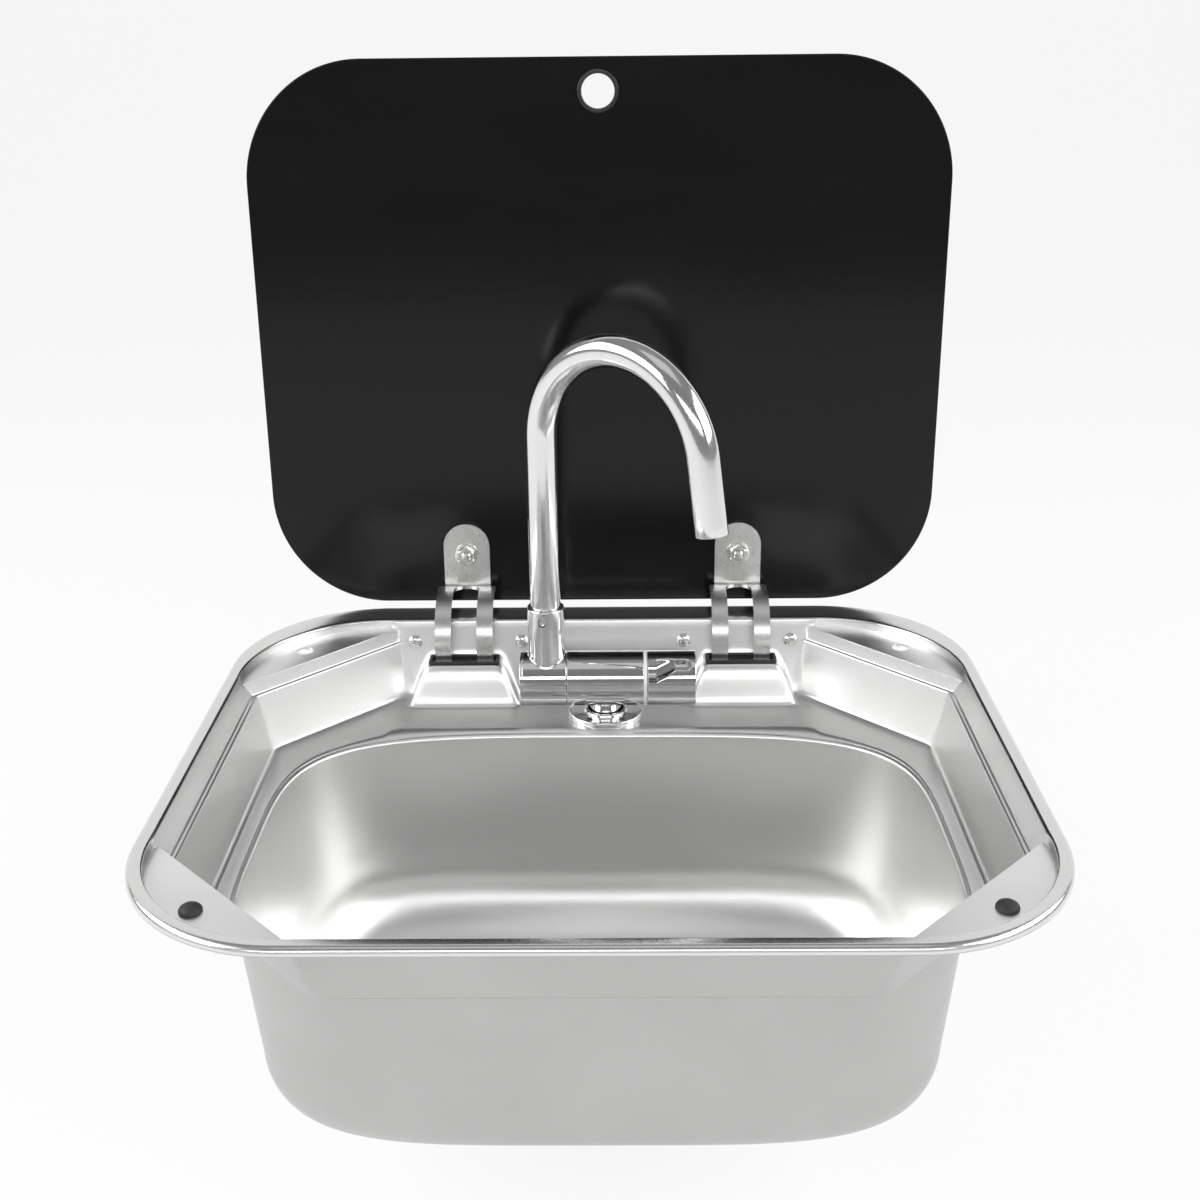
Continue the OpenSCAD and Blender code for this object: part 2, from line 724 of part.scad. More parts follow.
module pin_clips() {
  thick = 0.8;
  color([0.3, 0.3, 0.32]) for (s = [-1, 1])
    translate([s * hinge_x + ear_x + ear_t + snug, pivot_y, pivot_z]) lie_x() difference() {
      cylinder(r = pin_r * 1.9, h = thick);
      translate([0, 0, -over]) cylinder(r = pin_r + fit, h = thick + 2 * over);
      translate([-pin_r * 3, -pin_r / 2, -over]) cube([pin_r * 3, pin_r, thick + 2 * over]);
    }
}

module glass_lid() {
  color([0.05, 0.05, 0.06]) lid_pose() difference() {
    translate([0, lid_cy, lid_z]) linear_extrude(glass) rounded(lid_hw, lid_hl, lid_r);
    translate([0, finger_y, lid_z - over]) cylinder(r = glass_hole_r, h = glass + 2 * over);
    for (s = [-1, 1]) translate([s * hinge_x, bolt_y, lid_z - over])
      cylinder(r = bolt_hole_r, h = glass + 2 * over);
  }
}

module finger_ring() {
  color([0.1, 0.1, 0.1]) lid_pose() translate([0, finger_y, lid_z]) rotate_extrude() polygon([
    [finger_r, -finger_collar], [finger_collar_r - 0.3, -finger_collar], [finger_collar_r, -finger_collar + 0.3],
    [finger_collar_r, 0], [glass_hole_r - snug, 0], [glass_hole_r - snug, glass], [finger_collar_r, glass],
    [finger_collar_r, glass + finger_collar - 0.3], [finger_collar_r - 0.3, glass + finger_collar],
    [finger_r, glass + finger_collar]]);
}

// Arm of bent strip: rounded tab on the glass, a bend, and two curved legs down to the pin
module hinge_arm(side) {
  strap_top = tab_z - bend_r - arm_t;
  arch = leg_x - leg_w / 2;
  tab_end = lid_back - tab_l - pivot_y;
  color([0.72, 0.73, 0.74]) lid_pose() translate([side * hinge_x, pivot_y, pivot_z]) {
    for (s = [-1, 1]) translate([s * leg_x, 0, 0]) along_x() {
      rotate([0, 0, 180]) rotate_extrude(angle = neck_end - 180)
        translate([neck_r - arm_t / 2, -leg_w / 2]) square([arm_t, leg_w]);
      difference() {
        union() {
          rotate([0, 0, neck_end]) translate([0, -arm_t / 2, -leg_w / 2])
            cube([neck_r + arm_t / 2, arm_t, leg_w]);
          cylinder(r = eye_r, h = leg_w, center = true);
        }
        cylinder(r = pin_r + fit, h = leg_w + 1, center = true);
      }
    }
    difference() {
      translate([0, strap_y + arm_t, 0]) rotate([90, 0, 0]) linear_extrude(arm_t) polygon([
        [-arm_w / 2, 0], [-arm_w / 2, strap_top - 3], [-tab_w / 2, strap_top],
        [tab_w / 2, strap_top], [arm_w / 2, strap_top - 3], [arm_w / 2, 0]]);
      translate([0, strap_y, 0]) rotate([90, 0, 0]) cylinder(r = arch, h = 4 * arm_t, center = true);
    }
    translate([0, strap_y - bend_r, strap_top]) along_x()
      rotate_extrude(angle = 90) translate([bend_r, -tab_w / 2]) square([arm_t, tab_w]);
    difference() {
      translate([0, 0, tab_z - arm_t]) linear_extrude(arm_t) {
        translate([-tab_w / 2, tab_end + tab_w / 2]) square([tab_w, strap_y - bend_r - tab_end - tab_w / 2]);
        translate([0, tab_end + tab_w / 2]) circle(tab_w / 2);
      }
      translate([0, bolt_y - pivot_y, 0]) cylinder(r = bolt_r + 0.25, h = 4 * tab_z, center = true);
    }
  }
}
module hinge_arm_left() { hinge_arm(-1); }
module hinge_arm_right() { hinge_arm(1); }

module at_bolts(z) { lid_pose() for (s = [-1, 1]) translate([s * hinge_x, bolt_y, lid_z + z]) children(); }

module ring(r1, r0, h) {
  difference() {
    cylinder(r = r1, h = h);
    translate([0, 0, -over]) cylinder(r = r0, h = h + 2 * over);
  }
}

module lid_bolts() {
  stub = 1.4;
  under = soft_t + arm_t + washer_t + nut_h + stub;
  edge = 0.6;
  color([0.8, 0.81, 0.82]) at_bolts(0) {
    translate([0, 0, -under]) cylinder(r = bolt_r, h = under + glass + soft_t + 0.2);
    translate([0, 0, glass + soft_t]) cylinder(r = head_r, h = head_h - edge);
    translate([0, 0, glass + soft_t + head_h - edge]) cylinder(r1 = head_r, r2 = head_r - edge, h = edge);
  }
}
module outer_washers() { color([0.15, 0.15, 0.15]) at_bolts(glass) ring(head_r - 0.2, bolt_r + fit, soft_t); }
module glass_washers() { color([0.15, 0.15, 0.15]) at_bolts(-soft_t) ring(washer_r + 3, bolt_r + fit, soft_t); }
module nut_washers() {
  color([0.8, 0.81, 0.82]) at_bolts(-soft_t - arm_t - washer_t) ring(washer_r, bolt_r + fit, washer_t);
}
module bolt_nuts() {
  color([0.85, 0.86, 0.87]) at_bolts(-soft_t - arm_t - washer_t - nut_h) difference() {
    cylinder(r = nut_af / 2 / cos(30), h = nut_h, $fn = 6);
    translate([0, 0, -over]) cylinder(r = bolt_r + fit, h = nut_h + 2 * over);
  }
}

// Two-tier flange with a dished top round the stem
module tap_flange() {
  bore = stem_r + 1.1;
  gasket = 0.8;
  collar = 14.3;
  dish = 2.6;
  groove_z = rosette_h * 0.5;
  color([0.85, 0.86, 0.87]) translate([tap_x, tap_y, deck_z]) rotate_extrude() polygon([
    [bore, gasket], [rosette_r - 2, gasket], [rosette_r - 2, 0], [rosette_r - 0.3, 0],
    [rosette_r, 0.3], [rosette_r, groove_z - 0.2], [rosette_r - 0.4, groove_z], [rosette_r, groove_z + 0.2],
    [rosette_r, rosette_h - 0.4], [rosette_r - 0.5, rosette_h], [rosette_r - 1.3, rosette_h],
    [collar, dish], [collar, rosette_h - 1.4], [collar - 1.1, rosette_h - 0.6], [bore, rosette_h - 0.6]]);
}
module base_gasket() {
  color([0.15, 0.15, 0.15]) translate([tap_x, tap_y, deck_z]) ring(rosette_r - 2.2, stem_r + snug, 0.8);
}

// Fixed barrel with the stem that stands on the deck and the threaded shank under it
module tap_body() {
  valve_seat = fixed_x1 - 18;
  spindle_in = fixed_x0 + 13;
  color([0.85, 0.86, 0.87]) difference() {
    union() {
      translate([fixed_x0, tap_y, tap_z]) lie_x() cylinder(r = barrel_r, h = fixed_l);
      translate([tap_x, tap_y, deck_z - shank_l]) cylinder(r = stem_r, h = shank_l + tap_h);
    }
    translate([fixed_x0 - over, tap_y, tap_z]) lie_x()
      cylinder(r = spindle_r + 0.02, h = spindle_in - fixed_x0 + over);
    translate([valve_seat, tap_y, tap_z]) lie_x()
      cylinder(r = cartridge_r + fit, h = fixed_x1 - valve_seat + over);
    translate([spindle_in - over, tap_y, tap_z]) lie_x() cylinder(r = way_r, h = valve_seat - spindle_in + 2 * over);
    translate([tap_x, tap_y, deck_z - shank_l - over]) cylinder(r = way_r, h = shank_l + tap_h + over);
    translate([tap_x, tap_y, deck_z - shank_l - over]) cylinder(r = tail_r + 0.02, h = 9 + over);
  }
}

module clamp_washer() {
  color([0.7, 0.71, 0.72]) translate([tap_x, tap_y, deck_z - sheet - 2]) ring(16.5, stem_r + snug, 2);
}
module clamp_nut() {
  height = 8;
  color([0.8, 0.7, 0.4]) translate([tap_x, tap_y, deck_z - sheet - 2 - height]) difference() {
    cylinder(r = 15 / cos(30), h = height, $fn = 6);
    translate([0, 0, -over]) cylinder(r = stem_r + fit, h = height + 2 * over);
  }
}

// Plain spigot for the water hose
module inlet_tail() {
  socket = 8.8;
  stop_t = 2;
  color([0.8, 0.7, 0.4]) translate([tap_x, tap_y, deck_z - shank_l]) difference() {
    union() {
      translate([0, 0, -tail_l]) cylinder(r = tail_r, h = tail_l + socket);
      translate([0, 0, -stop_t - fit]) cylinder(r = stem_r - 1, h = stop_t);
    }
    translate([0, 0, -tail_l - over]) cylinder(r = tail_r - 2, h = tail_l + socket + 2 * over);
  }
}

// Hollow spindle fixed in the barrel, which the sleeve folds on
module fold_spindle() {
  x0 = sleeve_x0 + 4;
  x1 = fixed_x0 + 12.8;
  color([0.8, 0.7, 0.4]) translate([0, tap_y, tap_z]) difference() {
    translate([x0, 0, 0]) lie_x() cylinder(r = spindle_r, h = x1 - x0);
    translate([x0 + 3, 0, 0]) lie_x() cylinder(r = way_r, h = x1 - x0);
    translate([spout_x, 0, 0]) cylinder(r = way_r - 0.5, h = 2 * spindle_r, center = true);
    for (x = [x0 + 3, sleeve_x1 - 3]) translate([x - ring_w / 2 - fit, 0, 0]) lie_x()
      ring(spindle_r + 1, groove_r, ring_w + 2 * fit);
  }
}
module seal_ring() {
  rotate_extrude() translate([groove_r + ring_w / 2, 0]) circle(r = ring_w / 2 - 0.02, $fn = 32);
}
module fold_rings() {
  color([0.1, 0.1, 0.1]) for (x = [sleeve_x0 + 7, sleeve_x1 - 3])
    translate([x, tap_y, tap_z]) lie_x() seal_ring();
}

module valve_cartridge() {
  color([0.9, 0.88, 0.8]) translate([fixed_x1 - 17.8, tap_y, tap_z]) lie_x()
    ring(cartridge_r, valve_r + fit, 17.8);
}
module white_ring() {
  color([0.95, 0.95, 0.95]) translate([fixed_x1, tap_y, tap_z]) lie_x() ring(barrel_r + 0.1, valve_r + 1, ring_t);
}

module fold_sleeve() {
  color([0.85, 0.86, 0.87]) translate([0, tap_y, tap_z]) difference() {
    translate([sleeve_x0, 0, 0]) lie_x() cylinder(r = barrel_r, h = sleeve_l);
    translate([sleeve_x0 - over, 0, 0]) lie_x() cylinder(r = spindle_r + fit, h = sleeve_l + 2 * over);
    translate([spout_x, 0, 0]) cylinder(r = way_r, h = 2 * barrel_r);
  }
}
module sleeve_cap() {
  plug = 2.6;
  color([0.85, 0.86, 0.87]) translate([sleeve_x0 - cap_t, tap_y, tap_z]) lie_x() {
    cylinder(r = barrel_r, h = cap_t);
    cylinder(r = spindle_r, h = cap_t + plug);
  }
}

// Upright socket, saddled on the sleeve, that the spout swivels in
module spout_collar() {
  color([0.85, 0.86, 0.87]) difference() {
    translate([spout_x, tap_y, tap_z]) cylinder(r = collar_r, h = collar_top - tap_z);
    translate([spout_x, tap_y, tap_z]) lie_x() cylinder(r = barrel_r, h = 4 * collar_r, center = true);
    translate([spout_x, tap_y, tail_z0]) cylinder(r = tube_r + fit - 0.2, h = collar_top);
    translate([spout_x, tap_y, tap_z]) cylinder(r = way_r, h = collar_top);
    grub_place() translate([0, 0, -1]) cylinder(r = grub_r + 0.02, h = 6);
  }
}
module grub_place() {
  translate([spout_x, tap_y, grub_z]) rotate([0, 0, -10]) rotate([90, 0, 0])
    translate([0, 0, tube_r - 1.2]) children();
}
module grub_screw() {
  long = collar_r - tube_r + 0.9;
  color([0.7, 0.7, 0.72]) difference() {
    grub_place() cylinder(r = grub_r, h = long);
    grub_place() translate([0, 0, long - 1.2]) cylinder(r = 1.1, h = 2, $fn = 6);
  }
}

// Puts a shape drawn in the spout's own plane, X towards the outlet, in its place
module spout_place() { translate([spout_x, tap_y, 0]) rotate([0, 0, -spout_az]) children(); }

module gooseneck(r, extra) {
  translate([0, 0, tube_z0 - extra]) cylinder(r = r, h = bend_z - tube_z0 + extra);
  translate([gooseneck_r, 0, bend_z]) rotate([90, 0, 0]) mirror([1, 0, 0])
    rotate_extrude(angle = gooseneck_a) translate([gooseneck_r, 0]) circle(r);
  outlet_end(0) cylinder(r = r, h = outlet_l + extra);
}
// A place along the straight outlet, counted from the bend, its Z along the water's way
module outlet_end(along) {
  translate([gooseneck_r, 0, bend_z]) rotate([0, gooseneck_a - 180, 0])
    translate([gooseneck_r, 0, -along]) rotate([180, 0, 0]) children();
}
module spout_tube() {
  lap = 1;
  color([0.85, 0.86, 0.87]) spout_place() {
    difference() {
      gooseneck(tube_r, 0);
      gooseneck(tube_r - tube_t, over);
    }
    outlet_end(-lap) ring(tube_r - tube_t / 4, tube_r - tube_t * 3 / 4, 2 * lap);
  }
}

// Turned bush that carries the tube in the collar
module spout_tail() {
  r = tube_r - 0.2;
  spigot = 10;
  groove = r - 1.85;
  color([0.8, 0.7, 0.4]) translate([spout_x, tap_y, 0]) difference() {
    union() {
      translate([0, 0, tail_z0 + snug]) cylinder(r = r, h = tube_z0 - tail_z0 - snug);
      translate([0, 0, tube_z0]) cylinder(r = tube_r - tube_t - 0.02, h = spigot);
    }
    translate([0, 0, tail_z0]) cylinder(r = way_r, h = 80);
    for (z = tail_ring_zs) translate([0, 0, z - ring_w / 2 - fit]) ring(tube_r + 1, groove, ring_w + 2 * fit);
    translate([0, 0, grub_z - grub_r - 0.3]) ring(tube_r + 1, r - 1.2, 2 * grub_r + 0.6);
  }
}
module tail_rings() {
  groove = tube_r - 2.05;
  color([0.1, 0.1, 0.1]) for (z = tail_ring_zs) translate([spout_x, tap_y, z])
    rotate_extrude() translate([groove + ring_w / 2, 0]) circle(r = ring_w / 2 - 0.02, $fn = 32);
}
module outlet_insert() {
  long = 9;
  color([0.75, 0.76, 0.78]) spout_place() outlet_end(outlet_l - long - 0.4)
    ring(tube_r - tube_t - 0.02, way_r + 1, long);
}

// Knob with a thumb scoop that runs out towards its free end
module knob() {
  deep = scoop_near * [cos(scoop_near_a), sin(scoop_near_a)];
  shallow = scoop_far * [cos(scoop_far_a), sin(scoop_far_a)];
  x1 = knob_x0 + 5;
  x2 = knob_x0 + 16;
  x3 = knob_x1 - 3;
  edge = 0.5;
  color([0.85, 0.86, 0.87]) translate([0, tap_y, tap_z]) difference() {
    union() {
      translate([knob_x0, 0, 0]) lie_x() cylinder(r = barrel_r, h = knob_l - edge);
      translate([knob_x1 - edge, 0, 0]) lie_x() cylinder(r1 = barrel_r, r2 = barrel_r - edge, h = edge);
    }
    translate([knob_x0 - over, -deep[0], deep[1]]) lie_x() cylinder(r = scoop_r, h = x1 - knob_x0 + over);
    translate([x1, -deep[0], deep[1]]) sphere(r = scoop_r);
    rod([x1, -deep[0], deep[1]], [x2, -shallow[0], shallow[1]], scoop_r);
    translate([x2, -shallow[0], shallow[1]]) lie_x() cylinder(r = scoop_r, h = x3 - x2);
    translate([knob_x0 - over, 0, 0]) lie_x() cylinder(r = valve_r + 0.02, h = 14 + over);
    translate([knob_x0, 0, 0]) lie_x() cylinder(r = screw_r + snug, h = knob_l - 5);
    translate([knob_x1 - 6, 0, 0]) lie_x() cylinder(r = 5.5, h = 6 + over);
  }
}
// A straight rod between two points
module rod(a, b, r) {
  d = b - a;
  translate(a) rotate([0, acos(d[2] / norm(d)), atan2(d[1], d[0])]) cylinder(r = r, h = norm(d));
}
module valve_spindle() {
  inside = 14;
  color([0.8, 0.7, 0.4]) translate([fixed_x1 - inside, tap_y, tap_z]) lie_x() difference() {
    cylinder(r = valve_r, h = inside + knob_x0 - fixed_x1 + 13.8);
    translate([0, 0, inside + 6]) cylinder(r = 1.5, h = 30);
  }
}
module knob_screw() {
  color([0.7, 0.7, 0.72]) translate([knob_x1 - 6, tap_y, tap_z]) lie_x() difference() {
    union() {
      translate([0, 0, -knob_l + 17]) cylinder(r = 1.48, h = knob_l - 17);
      cylinder(r = 3.6, h = 2.2);
    }
    translate([0, 0, 1]) cylinder(r = 1.4, h = 2, $fn = 6);
  }
}
module knob_cap() {
  color([0.85, 0.86, 0.87]) translate([knob_x1 - 2.4, tap_y, tap_z]) lie_x() cylinder(r = 5.48, h = 2);
}

// Dished strainer with two rings of small holes, screwed down into the waste body
module strainer() {
  dish_r = floor_hole_r - 1.5;
  dish = 5;
  hole_r = 1.8;
  // Holes in each ring, and its radius as a share of the dish
  rings = [[8, 0.38], [14, 0.63]];
  color([0.85, 0.86, 0.87]) translate([0, waste_y, strainer_z]) difference() {
    rotate_extrude() polygon([
      [0, -dish - strainer_t], [dish_r - 4, -dish - strainer_t], [dish_r, -strainer_t],
      [dish_r, 0], [strainer_r, 0], [strainer_r, strainer_t - 0.5], [strainer_r - 1.5, strainer_t],
      [dish_r - 1, strainer_t], [dish_r - 5, -dish], [0, -dish]]);
    translate([0, 0, -dish - 2 * strainer_t]) {
      for (ring = rings) for (k = [0:ring[0] - 1])
        rotate([0, 0, 360 * k / ring[0]]) translate([ring[1] * dish_r, 0, 0]) cylinder(r = hole_r, h = 3 * strainer_t);
      cylinder(r = waste_screw_r + snug, h = 3 * strainer_t);
    }
  }
}
module upper_seal() {
  color([0.12, 0.12, 0.12]) translate([0, waste_y, bowl_floor]) ring(strainer_r - 1, floor_hole_r + 1, waste_seal);
}
module lower_seal() {
  color([0.12, 0.12, 0.12]) translate([0, waste_y, cup_z]) ring(strainer_r - 1, floor_hole_r + 1, waste_seal);
}

// Plastic cup that narrows to a plain tail for the hose
module waste_body() {
  rim_t = 3;
  color([0.2, 0.2, 0.2]) translate([0, waste_y, cup_z]) rotate_extrude() polygon([
    [cup_r - waste_t, 0], [strainer_r, 0], [strainer_r, -rim_t], [cup_r, -rim_t], [cup_r, -cup_h + funnel],
    [waste_tail_r, -cup_h], [waste_tail_r, -cup_h - waste_tail_l],
    [waste_tail_r - waste_t, -cup_h - waste_tail_l], [waste_tail_r - waste_t, -cup_h + 0.5],
    [cup_r - waste_t, funnel_z]]);
}
// Bridge across the cup for the screw, on three feet that stand where the cup starts to narrow
module waste_bridge() {
  boss = 6;
  bar = 3;
  foot = 3;
  reach = cup_r - waste_t - 2 * snug;
  color([0.85, 0.86, 0.87]) translate([0, waste_y, cup_z]) difference() {
    union() {
      translate([0, 0, -bridge_z]) cylinder(r = boss, h = 6);
      for (k = [0:2]) rotate([0, 0, 120 * k]) {
        translate([boss - 1, -bar / 2, -bridge_z]) cube([reach - boss, bar, 5]);
        translate([reach - foot, -bar / 2, funnel_z + snug]) cube([foot, bar, -bridge_z - funnel_z]);
      }
    }
    translate([0, 0, -bridge_z - over]) cylinder(r = waste_screw_r + 0.02, h = 8);
  }
}
module waste_screw() {
  top = strainer_z - 5;
  tip = cup_z - 15;
  color([0.85, 0.86, 0.87]) translate([0, waste_y, 0]) {
    difference() {
      translate([0, 0, top + snug]) cylinder(r1 = 5, r2 = 3.5, h = 2);
      translate([0, 0, top + 2]) cube([12, 1, 1.4], center = true);
    }
    translate([0, 0, tip]) cylinder(r = waste_screw_r, h = top - tip + 0.3);
  }
}

rim_tray();
bowl();
rim_seal();
plate_front_left();
plate_front_right();
plate_rear_left();
plate_rear_right();
lid_bumpers();
slot_liner_left();
slot_liner_right();
bracket_left();
bracket_right();
bracket_screws();
bracket_nuts();
hinge_pins();
pin_clips();
glass_lid();
finger_ring();
hinge_arm_left();
hinge_arm_right();
lid_bolts();
outer_washers();
glass_washers();
nut_washers();
bolt_nuts();
tap_flange();
base_gasket();
tap_body();
clamp_washer();
clamp_nut();
inlet_tail();
fold_spindle();
fold_rings();
valve_cartridge();
white_ring();
fold_sleeve();
sleeve_cap();
spout_collar();
grub_screw();
spout_tube();
spout_tail();
tail_rings();
outlet_insert();
knob();
valve_spindle();
knob_screw();
knob_cap();
strainer();
upper_seal();
lower_seal();
waste_body();
waste_bridge();
waste_screw();
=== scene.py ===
import bmesh
import bpy
import math
from mathutils import Matrix, Vector


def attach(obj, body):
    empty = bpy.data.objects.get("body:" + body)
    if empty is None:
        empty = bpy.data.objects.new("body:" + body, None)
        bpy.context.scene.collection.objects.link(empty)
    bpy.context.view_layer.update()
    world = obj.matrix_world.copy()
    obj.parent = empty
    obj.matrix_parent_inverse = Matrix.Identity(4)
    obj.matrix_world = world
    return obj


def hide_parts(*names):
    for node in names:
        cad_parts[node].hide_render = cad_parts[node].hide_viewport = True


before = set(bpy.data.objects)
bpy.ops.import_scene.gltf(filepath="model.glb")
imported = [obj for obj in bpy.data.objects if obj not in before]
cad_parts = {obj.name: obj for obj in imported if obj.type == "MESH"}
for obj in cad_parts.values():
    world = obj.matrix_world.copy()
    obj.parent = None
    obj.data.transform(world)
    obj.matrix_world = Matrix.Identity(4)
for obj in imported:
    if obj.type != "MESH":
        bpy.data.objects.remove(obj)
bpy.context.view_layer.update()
mm = 0.001
print("sink loaded with", len(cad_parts), "parts")


# small tools for making shapes, all in millimetres

def mix(a, b, t):
    return a + (b - a) * t


def between(p, q, t):
    return tuple(mix(a, b, t) for a, b in zip(p, q))


def betweenRows(first, second, t):
    return [between(p, q, t) for p, q in zip(first, second)]


def ease(t):
    t = min(max(t, 0.0), 1.0)
    return t * t * (3 - 2 * t)


def cosd(a):
    return math.cos(math.radians(a))


def sind(a):
    return math.sin(math.radians(a))


def softMin(a, b, blend):
    h = max(blend - abs(a - b), 0.0) / blend
    return min(a, b) - h * h * blend / 4


def softMax(a, b, blend):
    return -softMin(-a, -b, blend)


def spread(start, end, count):
    return [mix(start, end, k / (count - 1)) for k in range(count)]


def distances(line):
    # how far along the line each of its points lies
    along = [0.0]
    for p, q in zip(line, line[1:]):
        along.append(along[-1] + math.dist(p, q))
    return along


def roundPath(points, radius=0.5, steps=4, closed=False):
    # every corner of a flat path becomes an arc; a point may bring its own radius as a third number
    count = len(points)
    path = []
    for i, point in enumerate(points):
        here = Vector(point[:2])
        if not closed and i in (0, count - 1):
            path.append(tuple(here))
            continue
        wanted = point[2] if len(point) > 2 else radius
        before = Vector(points[i - 1][:2]) - here
        after = Vector(points[(i + 1) % count][:2]) - here
        half = before.angle(after, math.pi) / 2 if before.length and after.length else math.pi / 2
        if wanted <= 0 or half > math.radians(89.5):
            path += [tuple(here)] * (steps + 1)
            continue
        cut = min(wanted / math.tan(half), before.length * 0.49, after.length * 0.49)
        middle = here + (before.normalized() + after.normalized()).normalized() * cut / math.cos(half)
        start = here + before.normalized() * cut - middle
        end = here + after.normalized() * cut - middle
        turn = math.atan2(start.x * end.y - start.y * end.x, start.dot(end))
        for k in range(steps + 1):
            a = turn * k / steps
            path.append((middle.x + start.x * math.cos(a) - start.y * math.sin(a),
                         middle.y + start.x * math.sin(a) + start.y * math.cos(a)))
    return path


def gridShape(rows, closed=True, looped=False):
    # closed joins the ends of each row, looped joins the last row to the first
    wide = len(rows[0])
    points = [p for row in rows for p in row]
    faces = []
    for j in range(len(rows) if looped else len(rows) - 1):
        after = (j + 1) % len(rows)
        for i in range(wide if closed else wide - 1):
            k = (i + 1) % wide
            faces.append((j * wide + i, j * wide + k, after * wide + k, after * wide + i))
    return points, faces


def addShapes(*shapes):
    points, faces = [], []
    for morePoints, moreFaces in shapes:
        start = len(points)
        points += morePoints
        faces += [tuple(start + i for i in face) for face in moreFaces]
    return points, faces


def moved(shape, x=0, y=0, z=0):
    points, faces = shape
    return [(p[0] + x, p[1] + y, p[2] + z) for p in points], faces


def circle(radius, height, step):
    return [(radius * cosd(a), radius * sind(a), height) for a in range(0, 360, step)]


def roundedBox(halfX, halfY, radius, steps):
    # a rectangle's outline with round corners, counter-clockwise
    quarters = ((1, 1, 0), (-1, 1, 90), (-1, -1, 180), (1, -1, 270))
    return [((halfX - radius) * sx + radius * cosd(start + 90 * k / steps),
             (halfY - radius) * sy + radius * sind(start + 90 * k / steps))
            for sx, sy, start in quarters for k in range(steps + 1)]


def turned(profile, steps=72, axis="z"):
    # profile points are (radius, distance along the axis), and the last joins the first
    rows = []
    for k in range(steps):
        c, s = math.cos(2 * math.pi * k / steps), math.sin(2 * math.pi * k / steps)
        if axis == "z":
            rows.append([(r * c, r * s, h) for r, h in profile])
        else:
            rows.append([(h, r * c, r * s) for r, h in profile])
    return gridShape(rows, looped=True)


def ringSection(inner, outer, start, end):
    return [(inner, start), (outer, start), (outer, end), (inner, end)]


def lathed(section, radius, steps, count, axis="z", closed=True):
    # a section with rounded corners, turned round the axis
    return turned(roundPath(section, radius, steps, closed), count, axis)


def addObject(name, data):
    thing = bpy.data.objects.new(name, data)
    bpy.context.scene.collection.objects.link(thing)
    return thing


def finalMesh(thing):
    # the mesh that an object's settings and modifiers give
    return bpy.data.meshes.new_from_object(thing.evaluated_get(bpy.context.evaluated_depsgraph_get()))


def makePiece(name, shape, sharp=40, outward=True):
    weld = 0.002
    points, faces = shape
    mesh = bpy.data.meshes.new(name)
    mesh.from_pydata([(p[0] * mm, p[1] * mm, p[2] * mm) for p in points], [], faces)
    body = bmesh.new()
    body.from_mesh(mesh)
    bmesh.ops.remove_doubles(body, verts=body.verts, dist=weld * mm)
    bmesh.ops.dissolve_degenerate(body, edges=body.edges, dist=weld * mm / 4)
    if outward:
        bmesh.ops.recalc_face_normals(body, faces=body.faces)
    body.to_mesh(mesh)
    body.free()
    mesh.polygons.foreach_set("use_smooth", [True] * len(mesh.polygons))
    mesh.set_sharp_from_angle(angle=math.radians(sharp))
    return addObject(name, mesh)


def thicken(piece, thickness, offset=-1.0):
    sheet = piece.modifiers.new("sheet", "SOLIDIFY")
    sheet.thickness = thickness * mm
    sheet.offset = offset
    sheet.use_quality_normals = True


def softEdges(piece, width, segments=3, angle=35):
    edge = piece.modifiers.new("edges", "BEVEL")
    edge.width = width * mm
    edge.segments = segments
    edge.limit_method = "ANGLE"
    edge.angle_limit = math.radians(angle)
    normals = piece.modifiers.new("normals", "WEIGHTED_NORMAL")
    normals.keep_sharp = True


def drill(piece, cutter, sharp=40):
    # cuts one piece's shape out of another and throws the cutter away
    hole = piece.modifiers.new("hole", "BOOLEAN")
    hole.object = cutter
    hole.solver = "EXACT"
    bpy.context.view_layer.update()
    mesh = finalMesh(piece)
    piece.modifiers.clear()
    piece.data = mesh
    mesh.set_sharp_from_angle(angle=math.radians(sharp))
    bpy.data.objects.remove(cutter)


def place(piece, material, body, slot, *replaced):
    piece.data.materials.clear()
    piece.data.materials.append(material)
    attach(piece, body)
    if replaced:
        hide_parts(*replaced)
    return piece


def addPiece(name, shape, material, body, slot, *replaced, sharp=40):
    return place(makePiece(name, shape, sharp), material, body, slot, *replaced)


# finishes

def newFinish(name):
    material = bpy.data.materials.new(name)
    material.use_nodes = True
    return material, material.node_tree, material.node_tree.nodes["Principled BSDF"]


def feed(tree, node, inputs):
    # each input gets a link to a socket, or else a value
    for key, value in inputs.items():
        if isinstance(value, bpy.types.NodeSocket):
            tree.links.new(value, node.inputs[key])
        else:
            node.inputs[key].default_value = value
    return node


def addNode(tree, kind, inputs, **settings):
    node = tree.nodes.new(kind)
    for key, value in settings.items():
        setattr(node, key, value)
    return feed(tree, node, inputs)


def noiseAt(tree, size, detail=3.0, stretch=(1, 1, 1), rough=0.55):
    # noise whose spots are about size millimetres across, drawn out along an axis by stretch
    coords = addNode(tree, "ShaderNodeTexCoord", {})
    mapping = addNode(tree, "ShaderNodeMapping", {
        "Vector": coords.outputs["Object"], "Scale": tuple(1 / s for s in stretch)})
    return addNode(tree, "ShaderNodeTexNoise", {
        "Vector": mapping.outputs["Vector"], "Scale": 1 / (size * mm), "Detail": detail,
        "Roughness": rough})


def mapTo(tree, socket, low, high, fromLow=0.3, fromHigh=0.7):
    node = addNode(tree, "ShaderNodeMapRange", {
        "Value": socket, "From Min": fromLow, "From Max": fromHigh, "To Min": low, "To Max": high})
    return node.outputs["Result"]


def calculate(tree, operation, first, second):
    return addNode(tree, "ShaderNodeMath", {0: first, 1: second}, operation=operation).outputs[0]


